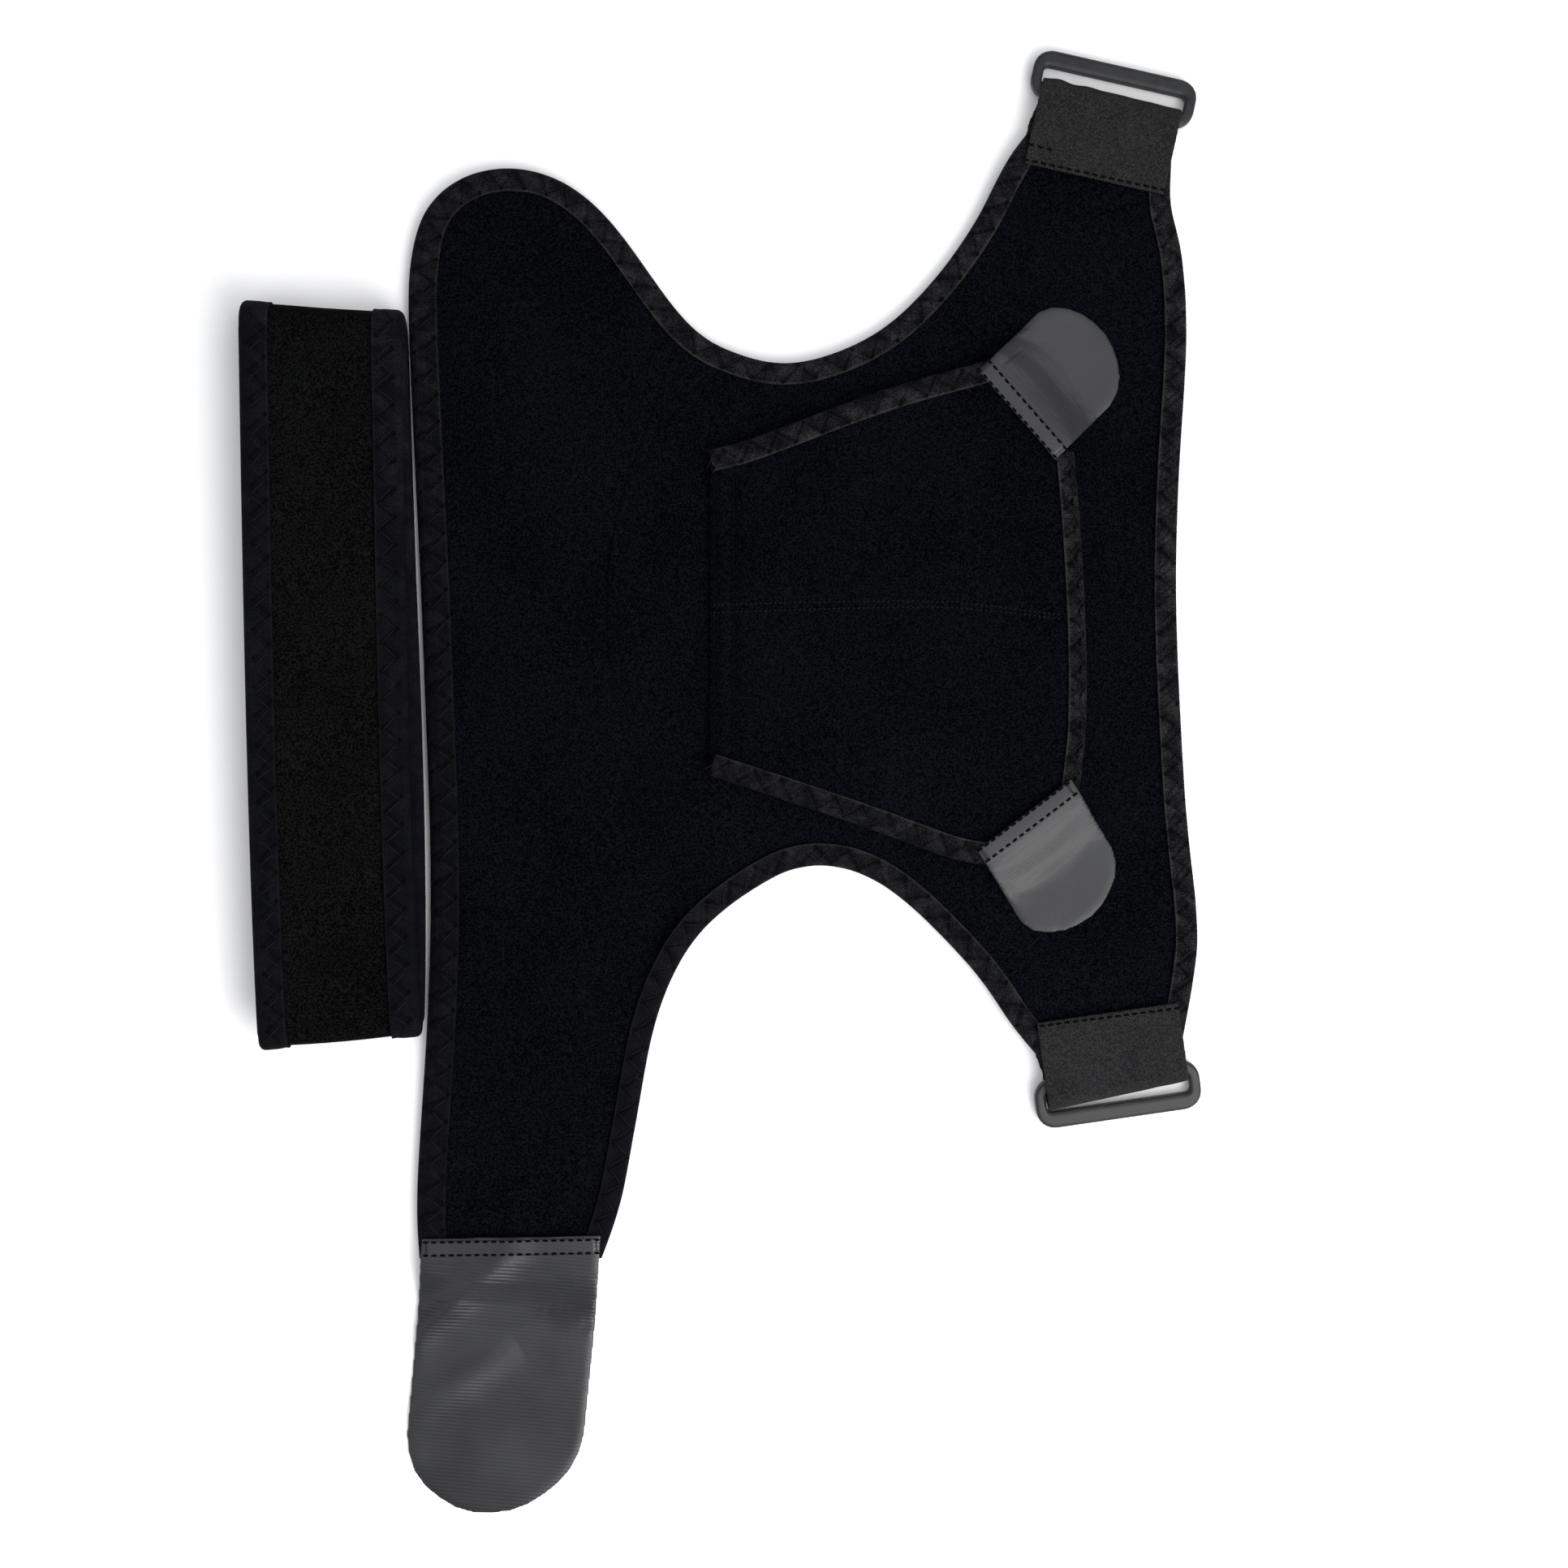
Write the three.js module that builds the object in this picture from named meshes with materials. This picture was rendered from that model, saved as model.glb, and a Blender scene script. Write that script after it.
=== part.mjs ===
// A shoulder brace, lying flat with its outer face up and its chest strap folded beside it.
// Plan directions: +X towards the chest edge, +Y towards the shoulder, +Z up from the floor.
import * as THREE from 'three';
import { mergeVertices } from 'three/addons/utils/BufferGeometryUtils.js';

// Driving dimensions, in millimetres and degrees
const bodyWidth = 278; // cuff edge to chest edge
const bodyLength = 384; // cuff hem to the top of the shoulder lobe
const padding = 3; // thickness of the padded knit
const tape = 0.9; // thickness of the edge tape
const tapeReach = 8; // how far the tape reaches over the padding
const gap = 0.4; // space between pieces that are sewn together
const bulge = 6; // highest rise of the padding off the floor
const webbingWidth = 50;
const webbing = 1.1; // thickness of the webbing
const webbingOverlap = 13; // padding held between the two ends of the webbing
const webbingReach = { upper: 26.9, lower: 22.8 }; // sewn line to the middle of the ring's inner bar
const webbingSlack = 4.4; // the most that a loop hangs loose past its bar
const hook = 1; // thickness of the hook tabs
const cuffTabWidth = 62.4;
const cuffTabLength = 99;
const cuffTabOverlap = 8;
const flapTabWidth = 42;
const flapTabLength = 43;
const flapTabOverlap = 5;
const ringHeight = 4; // thickness of a ring, bar top to bar bottom
const ringOuterBar = 5.8;
const ringInnerBar = 4.6; // the bar inside the webbing
const ringSideBar = 3.8;
const ringSlot = 7.2; // opening between the two bars
const ringCorner = 6.5; // radius of a ring's outer corners
const slotCorner = 1.7; // radius of its slot's corners
const ringPlay = 0.25; // room round the inner bar inside its loop
const strapWidth = 56.5;
const strapFold = 257.5; // length of the folded strap
const strapPadding = 2; // the strap's own padding, pressed by its folds
const strapTapeReach = 10.3; // the strap's tape reaches further over than the body's
const strapTail = 45; // how far the strap's ends stop short of the fold
const strapBeside = 0.6; // space between the strap and the line along the cuff's edge
const strapBelow = 5; // how far the fold's head lies below the cuff's widest point
const strapSkew = { head: 2.6, foot: 1.7 }; // how far each fold line runs out of square
const strapHookOverlap = 10;
const strapHookGap = 4; // space from the end of a strap hook to the fold's end
const floorGap = 0.1; // space under a ring's outer bar
const liftReach = { full: 0.6, none: 1.3 }; // how far the webbing lifts the padding, in webbing widths
const tabFall = { flap: 0.4, cuff: 0.2 }; // how far a tab takes to come down, as a share of its length

// Heights of the stacked layers above the floor
const paddingUnder = tape + gap;
const paddingOver = paddingUnder + padding;
const sewnUnder = paddingOver + tape + 2 * gap;
const flapUnder = sewnUnder;
const flapOver = flapUnder + padding;
const flapTabUnder = flapOver + tape + 2 * gap;
const webbingLift = webbing + gap;
const edgeInset = tape + gap;

// The body's outline, clockwise from the hem, as shares of bodyWidth and bodyLength
const cuffEdge = [
  { x: 0.014, y: 0 },
  { x: 0.011, y: 0.063 },
  { x: 0.025, y: 0.231 },
  { x: 0.028, y: 0.365 },
  { x: 0.02, y: 0.544 },
  { x: 0.005, y: 0.782 },
  { x: 0, y: 0.885 },
  { x: 0.006, y: 0.93 },
];
const lobe = [
  { x: 0.024, y: 0.965 },
  { x: 0.067, y: 0.991 },
  { x: 0.128, y: 1 },
  { x: 0.194, y: 0.988 },
  { x: 0.258, y: 0.949 },
  { x: 0.354, y: 0.856 },
];
const neckShoulder = [
  { x: 0.423, y: 0.827 },
  { x: 0.495, y: 0.82 },
  { x: 0.592, y: 0.847 },
];
const neckChest = [
  { x: 0.664, y: 0.895 },
  { x: 0.721, y: 0.953 },
  { x: 0.755, y: 1.003 },
];
const chestEdge = [
  { x: 0.972, y: 0.953 },
  { x: 0.986, y: 0.856 },
  { x: 0.975, y: 0.707 },
  { x: 0.972, y: 0.588 },
  { x: 0.984, y: 0.417 },
  { x: 1, y: 0.305 },
  { x: 0.993, y: 0.253 },
];
const armpitChest = [
  { x: 0.763, y: 0.214 },
  { x: 0.719, y: 0.261 },
  { x: 0.636, y: 0.323 },
];
const armpitShoulder = [
  { x: 0.58, y: 0.351 },
  { x: 0.526, y: 0.361 },
  { x: 0.474, y: 0.354 },
  { x: 0.373, y: 0.302 },
];
const armpitCuff = [
  { x: 0.317, y: 0.227 },
  { x: 0.287, y: 0.119 },
  { x: 0.269, y: 0.05 },
  { x: 0.245, y: 0 },
];

// Inner knots of the two curved seams between the padded panels
const cuffSeam = [
  { x: 0.312, y: 0.769 },
  { x: 0.269, y: 0.678 },
  { x: 0.258, y: 0.581 },
  { x: 0.279, y: 0.477 },
  { x: 0.335, y: 0.375 },
];
const shoulderSeam = [
  { x: 0.599, y: 0.782 },
  { x: 0.598, y: 0.588 },
  { x: 0.611, y: 0.424 },
];

// The flap's outline, clockwise from its sewn edge
const flapTop = [
  { x: 0.381, y: 0.739 },
  { x: 0.423, y: 0.746 },
  { x: 0.516, y: 0.771 },
  { x: 0.618, y: 0.798 },
  { x: 0.732, y: 0.821 },
];
const flapSide = [
  { x: 0.841, y: 0.737 },
  { x: 0.849, y: 0.664 },
  { x: 0.856, y: 0.552 },
  { x: 0.855, y: 0.46 },
  { x: 0.848, y: 0.43 },
];
const flapBottom = [
  { x: 0.733, y: 0.36 },
  { x: 0.699, y: 0.363 },
  { x: 0.589, y: 0.392 },
  { x: 0.5, y: 0.414 },
  { x: 0.381, y: 0.442 },
];

// Where the webbing and the tabs are sewn on: the middle of each sewn line as shares of the body,
// its heading, and the loose part of each side of a loop as a share of webbingSlack
const webbingPlaces = [
  { name: 'upper', x: 0.866, y: 0.986, heading: 77.2, slackLeft: 0.18, slackRight: 0 },
  { name: 'lower', x: 0.883, y: 0.226, heading: -81.8, slackLeft: 1, slackRight: 0.2 },
];
const flapTabPlaces = [
  { name: 'upper', x: 0.769, y: 0.769, heading: 39.6, mirror: 1 },
  { name: 'lower', x: 0.778, y: 0.407, heading: -52.6, mirror: -1 },
];
const cuffTabHeading = -95;

// A hook tab's outline, as shares of half its width and of its length, in three stretches
const cuffTabShape = {
  right: [{ x: -1, y: -0.033 }, { x: -1.01, y: 0.256 }, { x: -0.995, y: 0.69 }],
  end: [
    { x: -0.995, y: 0.69 },
    { x: -0.93, y: 0.778 },
    { x: -0.75, y: 0.87 },
    { x: -0.365, y: 0.967 },
    { x: 0.04, y: 1 },
    { x: 0.39, y: 0.988 },
    { x: 0.78, y: 0.913 },
    { x: 0.94, y: 0.83 },
    { x: 1, y: 0.745 },
  ],
  left: [{ x: 1, y: 0.033 }, { x: 1, y: 0.31 }, { x: 1, y: 0.745 }],
};
const flapTabShape = {
  right: [{ x: -1, y: 0 }, { x: -1.02, y: 0.13 }, { x: -1.13, y: 0.69 }],
  end: [
    { x: -1.13, y: 0.69 },
    { x: -1.06, y: 0.8 },
    { x: -0.78, y: 0.925 },
    { x: -0.45, y: 0.985 },
    { x: -0.1, y: 1 },
    { x: 0.33, y: 0.94 },
    { x: 0.68, y: 0.82 },
    { x: 0.84, y: 0.66 },
  ],
  left: [{ x: 0.97, y: 0 }, { x: 0.93, y: 0.2 }, { x: 0.84, y: 0.66 }],
};

// Soft rises of the padding: middle and reach as shares of the body, height as a share of bulge
const rises = [
  { x: 0.14, y: 0.81, reachX: 0.2, reachY: 0.16, turn: -10, height: 0.55 },
  { x: 0.13, y: 0.5, reachX: 0.17, reachY: 0.17, turn: 0, height: 0.5 },
  { x: 0.14, y: 0.19, reachX: 0.15, reachY: 0.13, turn: 0, height: 0.4 },
  { x: 0.63, y: 0.6, reachX: 0.36, reachY: 0.23, turn: 0, height: 1 },
  { x: 0.5, y: 0.76, reachX: 0.2, reachY: 0.1, turn: 0, height: 0.25 },
  { x: 0.93, y: 0.55, reachX: 0.12, reachY: 0.24, turn: 0, height: 0.3 },
];

// Sideways bow of the strap's layers, from the lowest, as shares of its width
const strapBows = [0.012, 0.012, 0.045, -0.022];
const strapBowPlace = 0.37; // where a bow is deepest, as a share of the folded length

// A strap hook's outline: share of its length, and width there as a share of the full width
const strapHookShape = [
  { share: 0, width: 1 },
  { share: 0.6, width: 1 },
  { share: 0.85, width: 0.87 },
  { share: 0.96, width: 0.62 },
  { share: 1, width: 0.3 },
];

// How finely each path and bend is divided
const steps = {
  cuff: 30,
  lobe: 12,
  shoulder: 7,
  chest: 8,
  end: 5,
  armpit: 11,
  seam: 19,
  chestEdge: 19,
  flapLong: 9,
  flapSide: 6,
  flapCorner: 3,
  cuffTabSide: 12,
  cuffTabEnd: 14,
  flapTabSide: 7,
  flapTabEnd: 10,
  loop: 10,
  ringCorner: 6,
  strapLayer: 6,
  strapEndLayer: 5,
  strapFold: 6,
  strapWideFold: 8,
};

const bodyPoint = (knot) => new THREE.Vector2(knot.x * bodyWidth, knot.y * bodyLength);

// A frame on the floor plan: s runs to the right of its heading, n runs along the heading
function planFrame(origin, heading) {
  const angle = THREE.MathUtils.degToRad(heading);
  const along = new THREE.Vector2(Math.cos(angle), Math.sin(angle));
  const across = new THREE.Vector2(Math.sin(angle), -Math.cos(angle));
  const at = (s, n) => origin.clone().addScaledVector(across, s).addScaledVector(along, n);
  const reachOf = (point) => point.clone().sub(origin).dot(along);
  return { at, reachOf, heading };
}

const webbingFrames = webbingPlaces.map((place) => planFrame(bodyPoint(place), place.heading));
const flapTabFrames = flapTabPlaces.map((place) => planFrame(bodyPoint(place), place.heading));

// Height of the resting surface under the padding
function drape(point) {
  let height = 0;
  for (const rise of rises) {
    const middle = bodyPoint(rise);
    const offset = point.clone().sub(middle);
    offset.rotateAround(new THREE.Vector2(), -THREE.MathUtils.degToRad(rise.turn));
    const across = offset.x / (rise.reachX * bodyWidth);
    const along = offset.y / (rise.reachY * bodyLength);
    const fall = Math.max(0, 1 - across * across - along * along);
    height += rise.height * bulge * fall * fall;
  }
  return height;
}

// How far the webbing sewn underneath lifts the padding
function lift(point) {
  let height = 0;
  for (const frame of webbingFrames) {
    const widths = point.distanceTo(frame.at(0, webbingOverlap)) / webbingWidth;
    height += webbingLift * (1 - THREE.MathUtils.smoothstep(widths, liftReach.full, liftReach.none));
  }
  return height;
}

// Evenly spaced points along the spline through knots, from one knot to another
function walk(knots, steps, from = 0, to = knots.length - 1) {
  const curve = new THREE.SplineCurve(knots);
  const fine = [];
  const count = 40 * (to - from);
  for (let i = 0; i <= count; i++) {
    fine.push(curve.getPoint((from + ((to - from) * i) / count) / (knots.length - 1)));
  }
  const lengths = [0];
  for (let i = 1; i <= count; i++) {
    lengths.push(lengths[i - 1] + fine[i].distanceTo(fine[i - 1]));
  }
  const points = [];
  for (let step = 0, i = 1; step <= steps; step++) {
    const target = (lengths[count] * step) / steps;
    while (i < count && lengths[i] < target) i++;
    const share = (target - lengths[i - 1]) / (lengths[i] - lengths[i - 1]);
    points.push(fine[i - 1].clone().lerp(fine[i], share));
  }
  return points;
}

const straight = (start, end, steps) => walk([start, end], steps);

// The inward directions at each point of a clockwise path, long enough to keep an even offset
function inwards(path) {
  return path.map((point, i) => {
    const before = path[Math.max(i - 1, 0)];
    const after = path[Math.min(i + 1, path.length - 1)];
    const first = point.clone().sub(before).normalize();
    const second = after.clone().sub(point).normalize();
    const tangent = first.clone().add(second).normalize();
    const stretch = 1 / Math.max(tangent.dot(i ? first : second), 0.5);
    return new THREE.Vector2(tangent.y, -tangent.x).multiplyScalar(stretch);
  });
}

const inset = (path, distance) => {
  const normals = inwards(path);
  return path.map((point, i) => point.clone().addScaledVector(normals[i], distance));
};

// A closed body from its vertices and triangles, with every face turned outwards
function closedBody(vertices, triangles) {
  let volume = 0;
  for (const [a, b, c] of triangles) {
    volume += vertices[a].dot(vertices[b].clone().cross(vertices[c]));
  }
  const index = triangles.flatMap(([a, b, c]) => (volume > 0 ? [a, b, c] : [a, c, b]));
  const position = vertices.flatMap((vertex) => vertex.toArray());
  const geometry = new THREE.BufferGeometry();
  geometry.setAttribute('position', new THREE.Float32BufferAttribute(position, 3));
  geometry.setIndex(index);
  geometry.computeVertexNormals();
  return geometry;
}

// A grid of plan points between four boundary paths that meet at their corners
function patch(bottom, top, left, right) {
  const columns = bottom.length - 1;
  const rows = left.length - 1;
  return left.map((_, j) =>
    bottom.map((_, i) => {
      const u = i / columns;
      const v = j / rows;
      const between = bottom[i].clone().lerp(top[i], v).add(left[j].clone().lerp(right[j], u));
      const low = bottom[0].clone().lerp(bottom[columns], u);
      const high = top[0].clone().lerp(top[columns], u);
      return between.sub(low.lerp(high, v));
    }),
  );
}

// A sheet over a grid of plan points; under and over give its two heights at a point
function sheet(grid, under, over) {
  const rows = grid.length;
  const columns = grid[0].length;
  const [lastRow, lastColumn] = [rows - 1, columns - 1];
  const vertices = [];
  for (const height of [under, over]) {
    for (const row of grid) {
      for (const point of row) vertices.push(new THREE.Vector3(point.x, point.y, height(point)));
    }
  }
  const id = (side, j, i) => (side * rows + j) * columns + i;
  const triangles = [];
  const quad = (a, b, c, d) => triangles.push([a, b, c], [a, c, d]);
  for (let j = 0; j < lastRow; j++) {
    for (let i = 0; i < lastColumn; i++) {
      quad(id(1, j, i), id(1, j, i + 1), id(1, j + 1, i + 1), id(1, j + 1, i));
      quad(id(0, j, i), id(0, j + 1, i), id(0, j + 1, i + 1), id(0, j, i + 1));
    }
  }
  for (let i = 0; i < lastColumn; i++) {
    quad(id(0, 0, i), id(0, 0, i + 1), id(1, 0, i + 1), id(1, 0, i));
    quad(id(1, lastRow, i), id(1, lastRow, i + 1), id(0, lastRow, i + 1), id(0, lastRow, i));
  }
  for (let j = 0; j < lastRow; j++) {
    const k = lastColumn;
    quad(id(1, j, 0), id(1, j + 1, 0), id(0, j + 1, 0), id(0, j, 0));
    quad(id(0, j, k), id(0, j + 1, k), id(1, j + 1, k), id(1, j, k));
  }
  return closedBody(vertices, triangles);
}

const draped = (level) => (point) => drape(point) + lift(point) + level;
const paddedPanel = (grid) => sheet(grid, draped(paddingUnder), draped(paddingOver));

// A body through a row of like sections; outline is their shape in two dimensions
function loft(sections, outline) {
  const count = outline.length;
  const triangles = [];
  for (let k = 0; k < sections.length - 1; k++) {
    for (let j = 0; j < count; j++) {
      const next = (j + 1) % count;
      const [a, b] = [k * count + j, (k + 1) * count + j];
      const [c, d] = [(k + 1) * count + next, k * count + next];
      triangles.push([a, b, c], [a, c, d]);
    }
  }
  const turned = THREE.ShapeUtils.isClockWise(outline);
  const last = (sections.length - 1) * count;
  for (const [a, b, c] of THREE.ShapeUtils.triangulateShape(outline, [])) {
    const clockwise = THREE.ShapeUtils.isClockWise([outline[a], outline[b], outline[c]]);
    const [p, q, r] = clockwise === turned ? [a, b, c] : [a, c, b];
    triangles.push([p, q, r], [last + p, last + r, last + q]);
  }
  return closedBody(sections.flat(), triangles);
}

// The folded tape's section: x runs inwards from its fold, y is the height
function tapeSection(under, over, reach) {
  const outline = [
    [reach, over + gap + tape],
    [0, over + gap + tape],
    [0, under - gap - tape],
    [reach, under - gap - tape],
    [reach, under - gap],
    [tape, under - gap],
    [tape, over + gap],
    [reach, over + gap],
  ];
  return outline.map(([x, y]) => new THREE.Vector2(x, y));
}

function binding(path, outline) {
  const normals = inwards(path);
  const sections = path.map((point, i) =>
    outline.map((corner) => {
      const plan = point.clone().addScaledVector(normals[i], corner.x);
      return new THREE.Vector3(plan.x, plan.y, draped(corner.y)(plan));
    }),
  );
  return loft(sections, outline);
}

// Body outline paths, with the tongues' corners taken from the webbing
const tongueHalf = webbingWidth / 2 + gap;
const [upperWebbing, lowerWebbing] = webbingFrames;
const upperLeft = upperWebbing.at(-tongueHalf, webbingOverlap);
const upperRight = upperWebbing.at(tongueHalf, webbingOverlap);
const lowerLeft = lowerWebbing.at(tongueHalf, webbingOverlap);
const lowerRight = lowerWebbing.at(-tongueHalf, webbingOverlap);

const neckKnots = [
  ...[...cuffEdge, ...lobe, ...neckShoulder, ...neckChest].map(bodyPoint),
  upperLeft,
];
const lobeStart = cuffEdge.length - 1;
const cuffSeamTop = lobeStart + lobe.length;
const shoulderSeamTop = cuffSeamTop + neckShoulder.length;
const neckPath = [
  ...walk(neckKnots, steps.cuff, 0, lobeStart),
  ...walk(neckKnots, steps.lobe, lobeStart, cuffSeamTop).slice(1),
  ...walk(neckKnots, steps.shoulder, cuffSeamTop, shoulderSeamTop).slice(1),
  ...walk(neckKnots, steps.chest, shoulderSeamTop).slice(1),
];
const chestKnots = [upperRight, upperWebbing.at(tongueHalf, 0), ...chestEdge.map(bodyPoint), lowerRight];
const chestPath = walk(chestKnots, steps.chestEdge);
const armpitKnots = [lowerLeft, ...[...armpitChest, ...armpitShoulder, ...armpitCuff].map(bodyPoint)];
const shoulderSeamFoot = armpitChest.length;
const cuffSeamFoot = shoulderSeamFoot + armpitShoulder.length;
const armpitPath = [
  ...walk(armpitKnots, steps.chest, 0, shoulderSeamFoot),
  ...walk(armpitKnots, steps.shoulder, shoulderSeamFoot, cuffSeamFoot).slice(1),
  ...walk(armpitKnots, steps.armpit, cuffSeamFoot).slice(1),
];

// The padding's own edges, inside the tape
const neckEdge = inset(neckPath, edgeInset);
const sideEdge = inset(chestPath, edgeInset);
const armpitEdge = inset(armpitPath, edgeInset);
const neckSeams = [steps.cuff + steps.lobe, steps.cuff + steps.lobe + steps.shoulder];
const armpitSeams = [steps.chest, steps.chest + steps.shoulder];

const shifted = (path, x) => path.map((point) => new THREE.Vector2(point.x + x, point.y));
function seamPath(foot, knots, head) {
  return walk([foot, ...knots.map(bodyPoint).reverse(), head], steps.seam);
}
const cuffSeamPath = seamPath(armpitEdge[armpitSeams[1]], cuffSeam, neckEdge[neckSeams[0]]);
const shoulderSeamPath = seamPath(armpitEdge[armpitSeams[0]], shoulderSeam, neckEdge[neckSeams[1]]);

// Pieces of a path with its end points moved onto a neighbour's
function joined(path, start, end) {
  const copy = path.map((point) => point.clone());
  copy[0].copy(start);
  copy[copy.length - 1].copy(end);
  return copy;
}

function cuffPanel() {
  const seam = shifted(cuffSeamPath, -gap / 2);
  const inner = armpitEdge.slice(armpitSeams[1]).reverse();
  const right = [...joined(inner, inner[0], seam[0]), ...seam.slice(1)];
  const left = neckEdge.slice(0, steps.cuff + 1);
  const lobeEdge = neckEdge.slice(steps.cuff, neckSeams[0] + 1);
  const top = joined(lobeEdge, left[steps.cuff], seam[steps.seam]);
  return patch(straight(left[0], right[0], steps.lobe), top, left, right);
}

function shoulderPanel() {
  const left = shifted(cuffSeamPath, gap / 2);
  const right = shifted(shoulderSeamPath, -gap / 2);
  const lowerEdge = armpitEdge.slice(armpitSeams[0], armpitSeams[1] + 1).reverse();
  const upperEdge = neckEdge.slice(neckSeams[0], neckSeams[1] + 1);
  const bottom = joined(lowerEdge, left[0], right[0]);
  const top = joined(upperEdge, left[steps.seam], right[steps.seam]);
  return patch(bottom, top, left, right);
}

function chestPanel() {
  const left = shifted(shoulderSeamPath, gap / 2);
  const right = sideEdge.slice().reverse();
  const neck = neckEdge.slice(neckSeams[1]);
  const armpit = armpitEdge.slice(0, armpitSeams[0] + 1).reverse();
  const topEnd = straight(neck[steps.chest], right[steps.chestEdge], steps.end).slice(1);
  const bottomEnd = straight(armpit[steps.chest], right[0], steps.end).slice(1);
  const top = [left[steps.seam], ...neck.slice(1), ...topEnd];
  const bottom = [left[0], ...armpit.slice(1), ...bottomEnd];
  return patch(bottom, top, left, right);
}

// The flap, sewn down along its left edge and bound on its three free sides
const flapTopPath = walk(flapTop.map(bodyPoint), steps.flapLong);
const flapSidePath = walk(flapSide.map(bodyPoint), steps.flapSide);
const flapBottomPath = walk(flapBottom.map(bodyPoint), steps.flapLong);

function flapPanel() {
  const top = inset(flapTopPath, edgeInset);
  const side = inset(flapSidePath, edgeInset).reverse();
  const bottom = inset(flapBottomPath, edgeInset).reverse();
  const lowerCorner = straight(bottom[steps.flapLong], side[0], steps.flapCorner);
  const upperCorner = straight(side[steps.flapSide], top[steps.flapLong], steps.flapCorner);
  const right = [...lowerCorner, ...side.slice(1), ...upperCorner.slice(1)];
  const left = straight(bottom[0], top[0], right.length - 1);
  return patch(bottom, top, left, right);
}

// Between its two tapes the flap's sewn edge is pressed down onto the padding
function flapLevel(level) {
  const [head, foot] = [flapTopPath[0], flapBottomPath[steps.flapLong]];
  return (point) => {
    const fromEnds = Math.min(head.y - point.y, point.y - foot.y);
    const clearOfTape = THREE.MathUtils.smoothstep(fromEnds, tapeReach, 2 * tapeReach);
    const fromSewn = THREE.MathUtils.smoothstep(point.x - head.x, 0, tapeReach);
    return draped(level - (tape + gap) * clearOfTape * (1 - fromSewn))(point);
  };
}

// A hook tab: over what it is sewn on, then down to what it rests on
function hookTab(frame, shape, size, levels) {
  const place = (knot) => frame.at((knot.x * size.mirror * size.width) / 2, knot.y * size.length);
  const left = walk(shape.left.map(place), size.sideSteps);
  const right = walk(shape.right.map(place), size.sideSteps);
  const end = walk(shape.end.map(place), size.endSteps);
  const grid = patch(straight(right[0], left[0], size.endSteps), end, right, left);
  const under = (point) => {
    const down = THREE.MathUtils.smoothstep(frame.reachOf(point), levels.from, levels.to);
    return draped(THREE.MathUtils.lerp(levels.sewn, levels.rest, down))(point);
  };
  return sheet(grid, under, (point) => under(point) + hook);
}

// Both faces of a band that follows a line in two dimensions
function bandOutline(line, thickness) {
  return [...inset(line, thickness / 2), ...inset(line, -thickness / 2).reverse()];
}

function arc(centreX, centreY, radius, fromDegrees, toDegrees, count) {
  const points = [];
  for (let i = 0; i <= count; i++) {
    const degrees = THREE.MathUtils.lerp(fromDegrees, toDegrees, i / count);
    const angle = THREE.MathUtils.degToRad(degrees);
    const [x, y] = [radius * Math.cos(angle), radius * Math.sin(angle)];
    points.push(new THREE.Vector2(centreX + x, centreY + y));
  }
  return points;
}

// Webbing folded round a ring's inner bar and sewn above and below the padding's end
const loopRadius = Math.hypot(ringInnerBar, ringHeight) / 2 + ringPlay;
const axisHeight = webbing + loopRadius;

function webbingLoop(place, frame) {
  const sewn = sewnUnder + webbingLift + webbing / 2;
  const reach = webbingReach[place.name];
  const line = [
    new THREE.Vector2(0, sewn),
    new THREE.Vector2(webbingOverlap, sewn),
    ...arc(reach, axisHeight, loopRadius + webbing / 2, 90, -90, steps.loop),
    new THREE.Vector2(0, webbing / 2),
  ];
  const shape = new THREE.Shape(bandOutline(line, webbing));
  const across = { depth: webbingWidth, steps: 2, bevelEnabled: false };
  const geometry = new THREE.ExtrudeGeometry(shape, across);
  geometry.deleteAttribute('normal');
  geometry.deleteAttribute('uv');
  const merged = mergeVertices(geometry);
  const position = merged.getAttribute('position');
  const vertices = [];
  for (let i = 0; i < position.count; i++) {
    const [n, z, s] = [position.getX(i), position.getY(i), position.getZ(i)];
    const share = frame.heading > 0 ? s / webbingWidth : 1 - s / webbingWidth;
    const slack = webbingSlack * THREE.MathUtils.lerp(place.slackLeft, place.slackRight, share);
    const pulled = n + slack * THREE.MathUtils.smoothstep(n, webbingOverlap, reach);
    const plan = frame.at(s - webbingWidth / 2, pulled);
    vertices.push(new THREE.Vector3(plan.x, plan.y, z + drape(plan)));
  }
  const triangles = [];
  for (let i = 0; i < merged.index.count; i += 3) {
    triangles.push([merged.index.getX(i), merged.index.getX(i + 1), merged.index.getX(i + 2)]);
  }
  return closedBody(vertices, triangles);
}

function roundedRectangle(halfWidth, low, high, radius) {
  return [
    ...arc(halfWidth - radius, low + radius, radius, -90, 0, steps.ringCorner),
    ...arc(halfWidth - radius, high - radius, radius, 0, 90, steps.ringCorner),
    ...arc(radius - halfWidth, high - radius, radius, 90, 180, steps.ringCorner),
    ...arc(radius - halfWidth, low + radius, radius, 180, 270, steps.ringCorner),
  ];
}

// A moulded ring: its inner bar on the local X axis, its outer bar in front
const slotHalf = webbingWidth / 2 + gap;
const slotLow = ringInnerBar / 2;
const slotHigh = slotLow + ringSlot;
const ringHigh = slotHigh + ringOuterBar;

// A bar's section: share of its width from the slot, share of the ring's height from the middle
const barFlat = 0.8;
const ringSection = [
  [0, -0.35],
  [1 - barFlat, -0.5],
  [barFlat, -0.5],
  [1, -0.35],
  [1, 0.35],
  [barFlat, 0.5],
  [1 - barFlat, 0.5],
  [0, 0.35],
];

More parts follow.
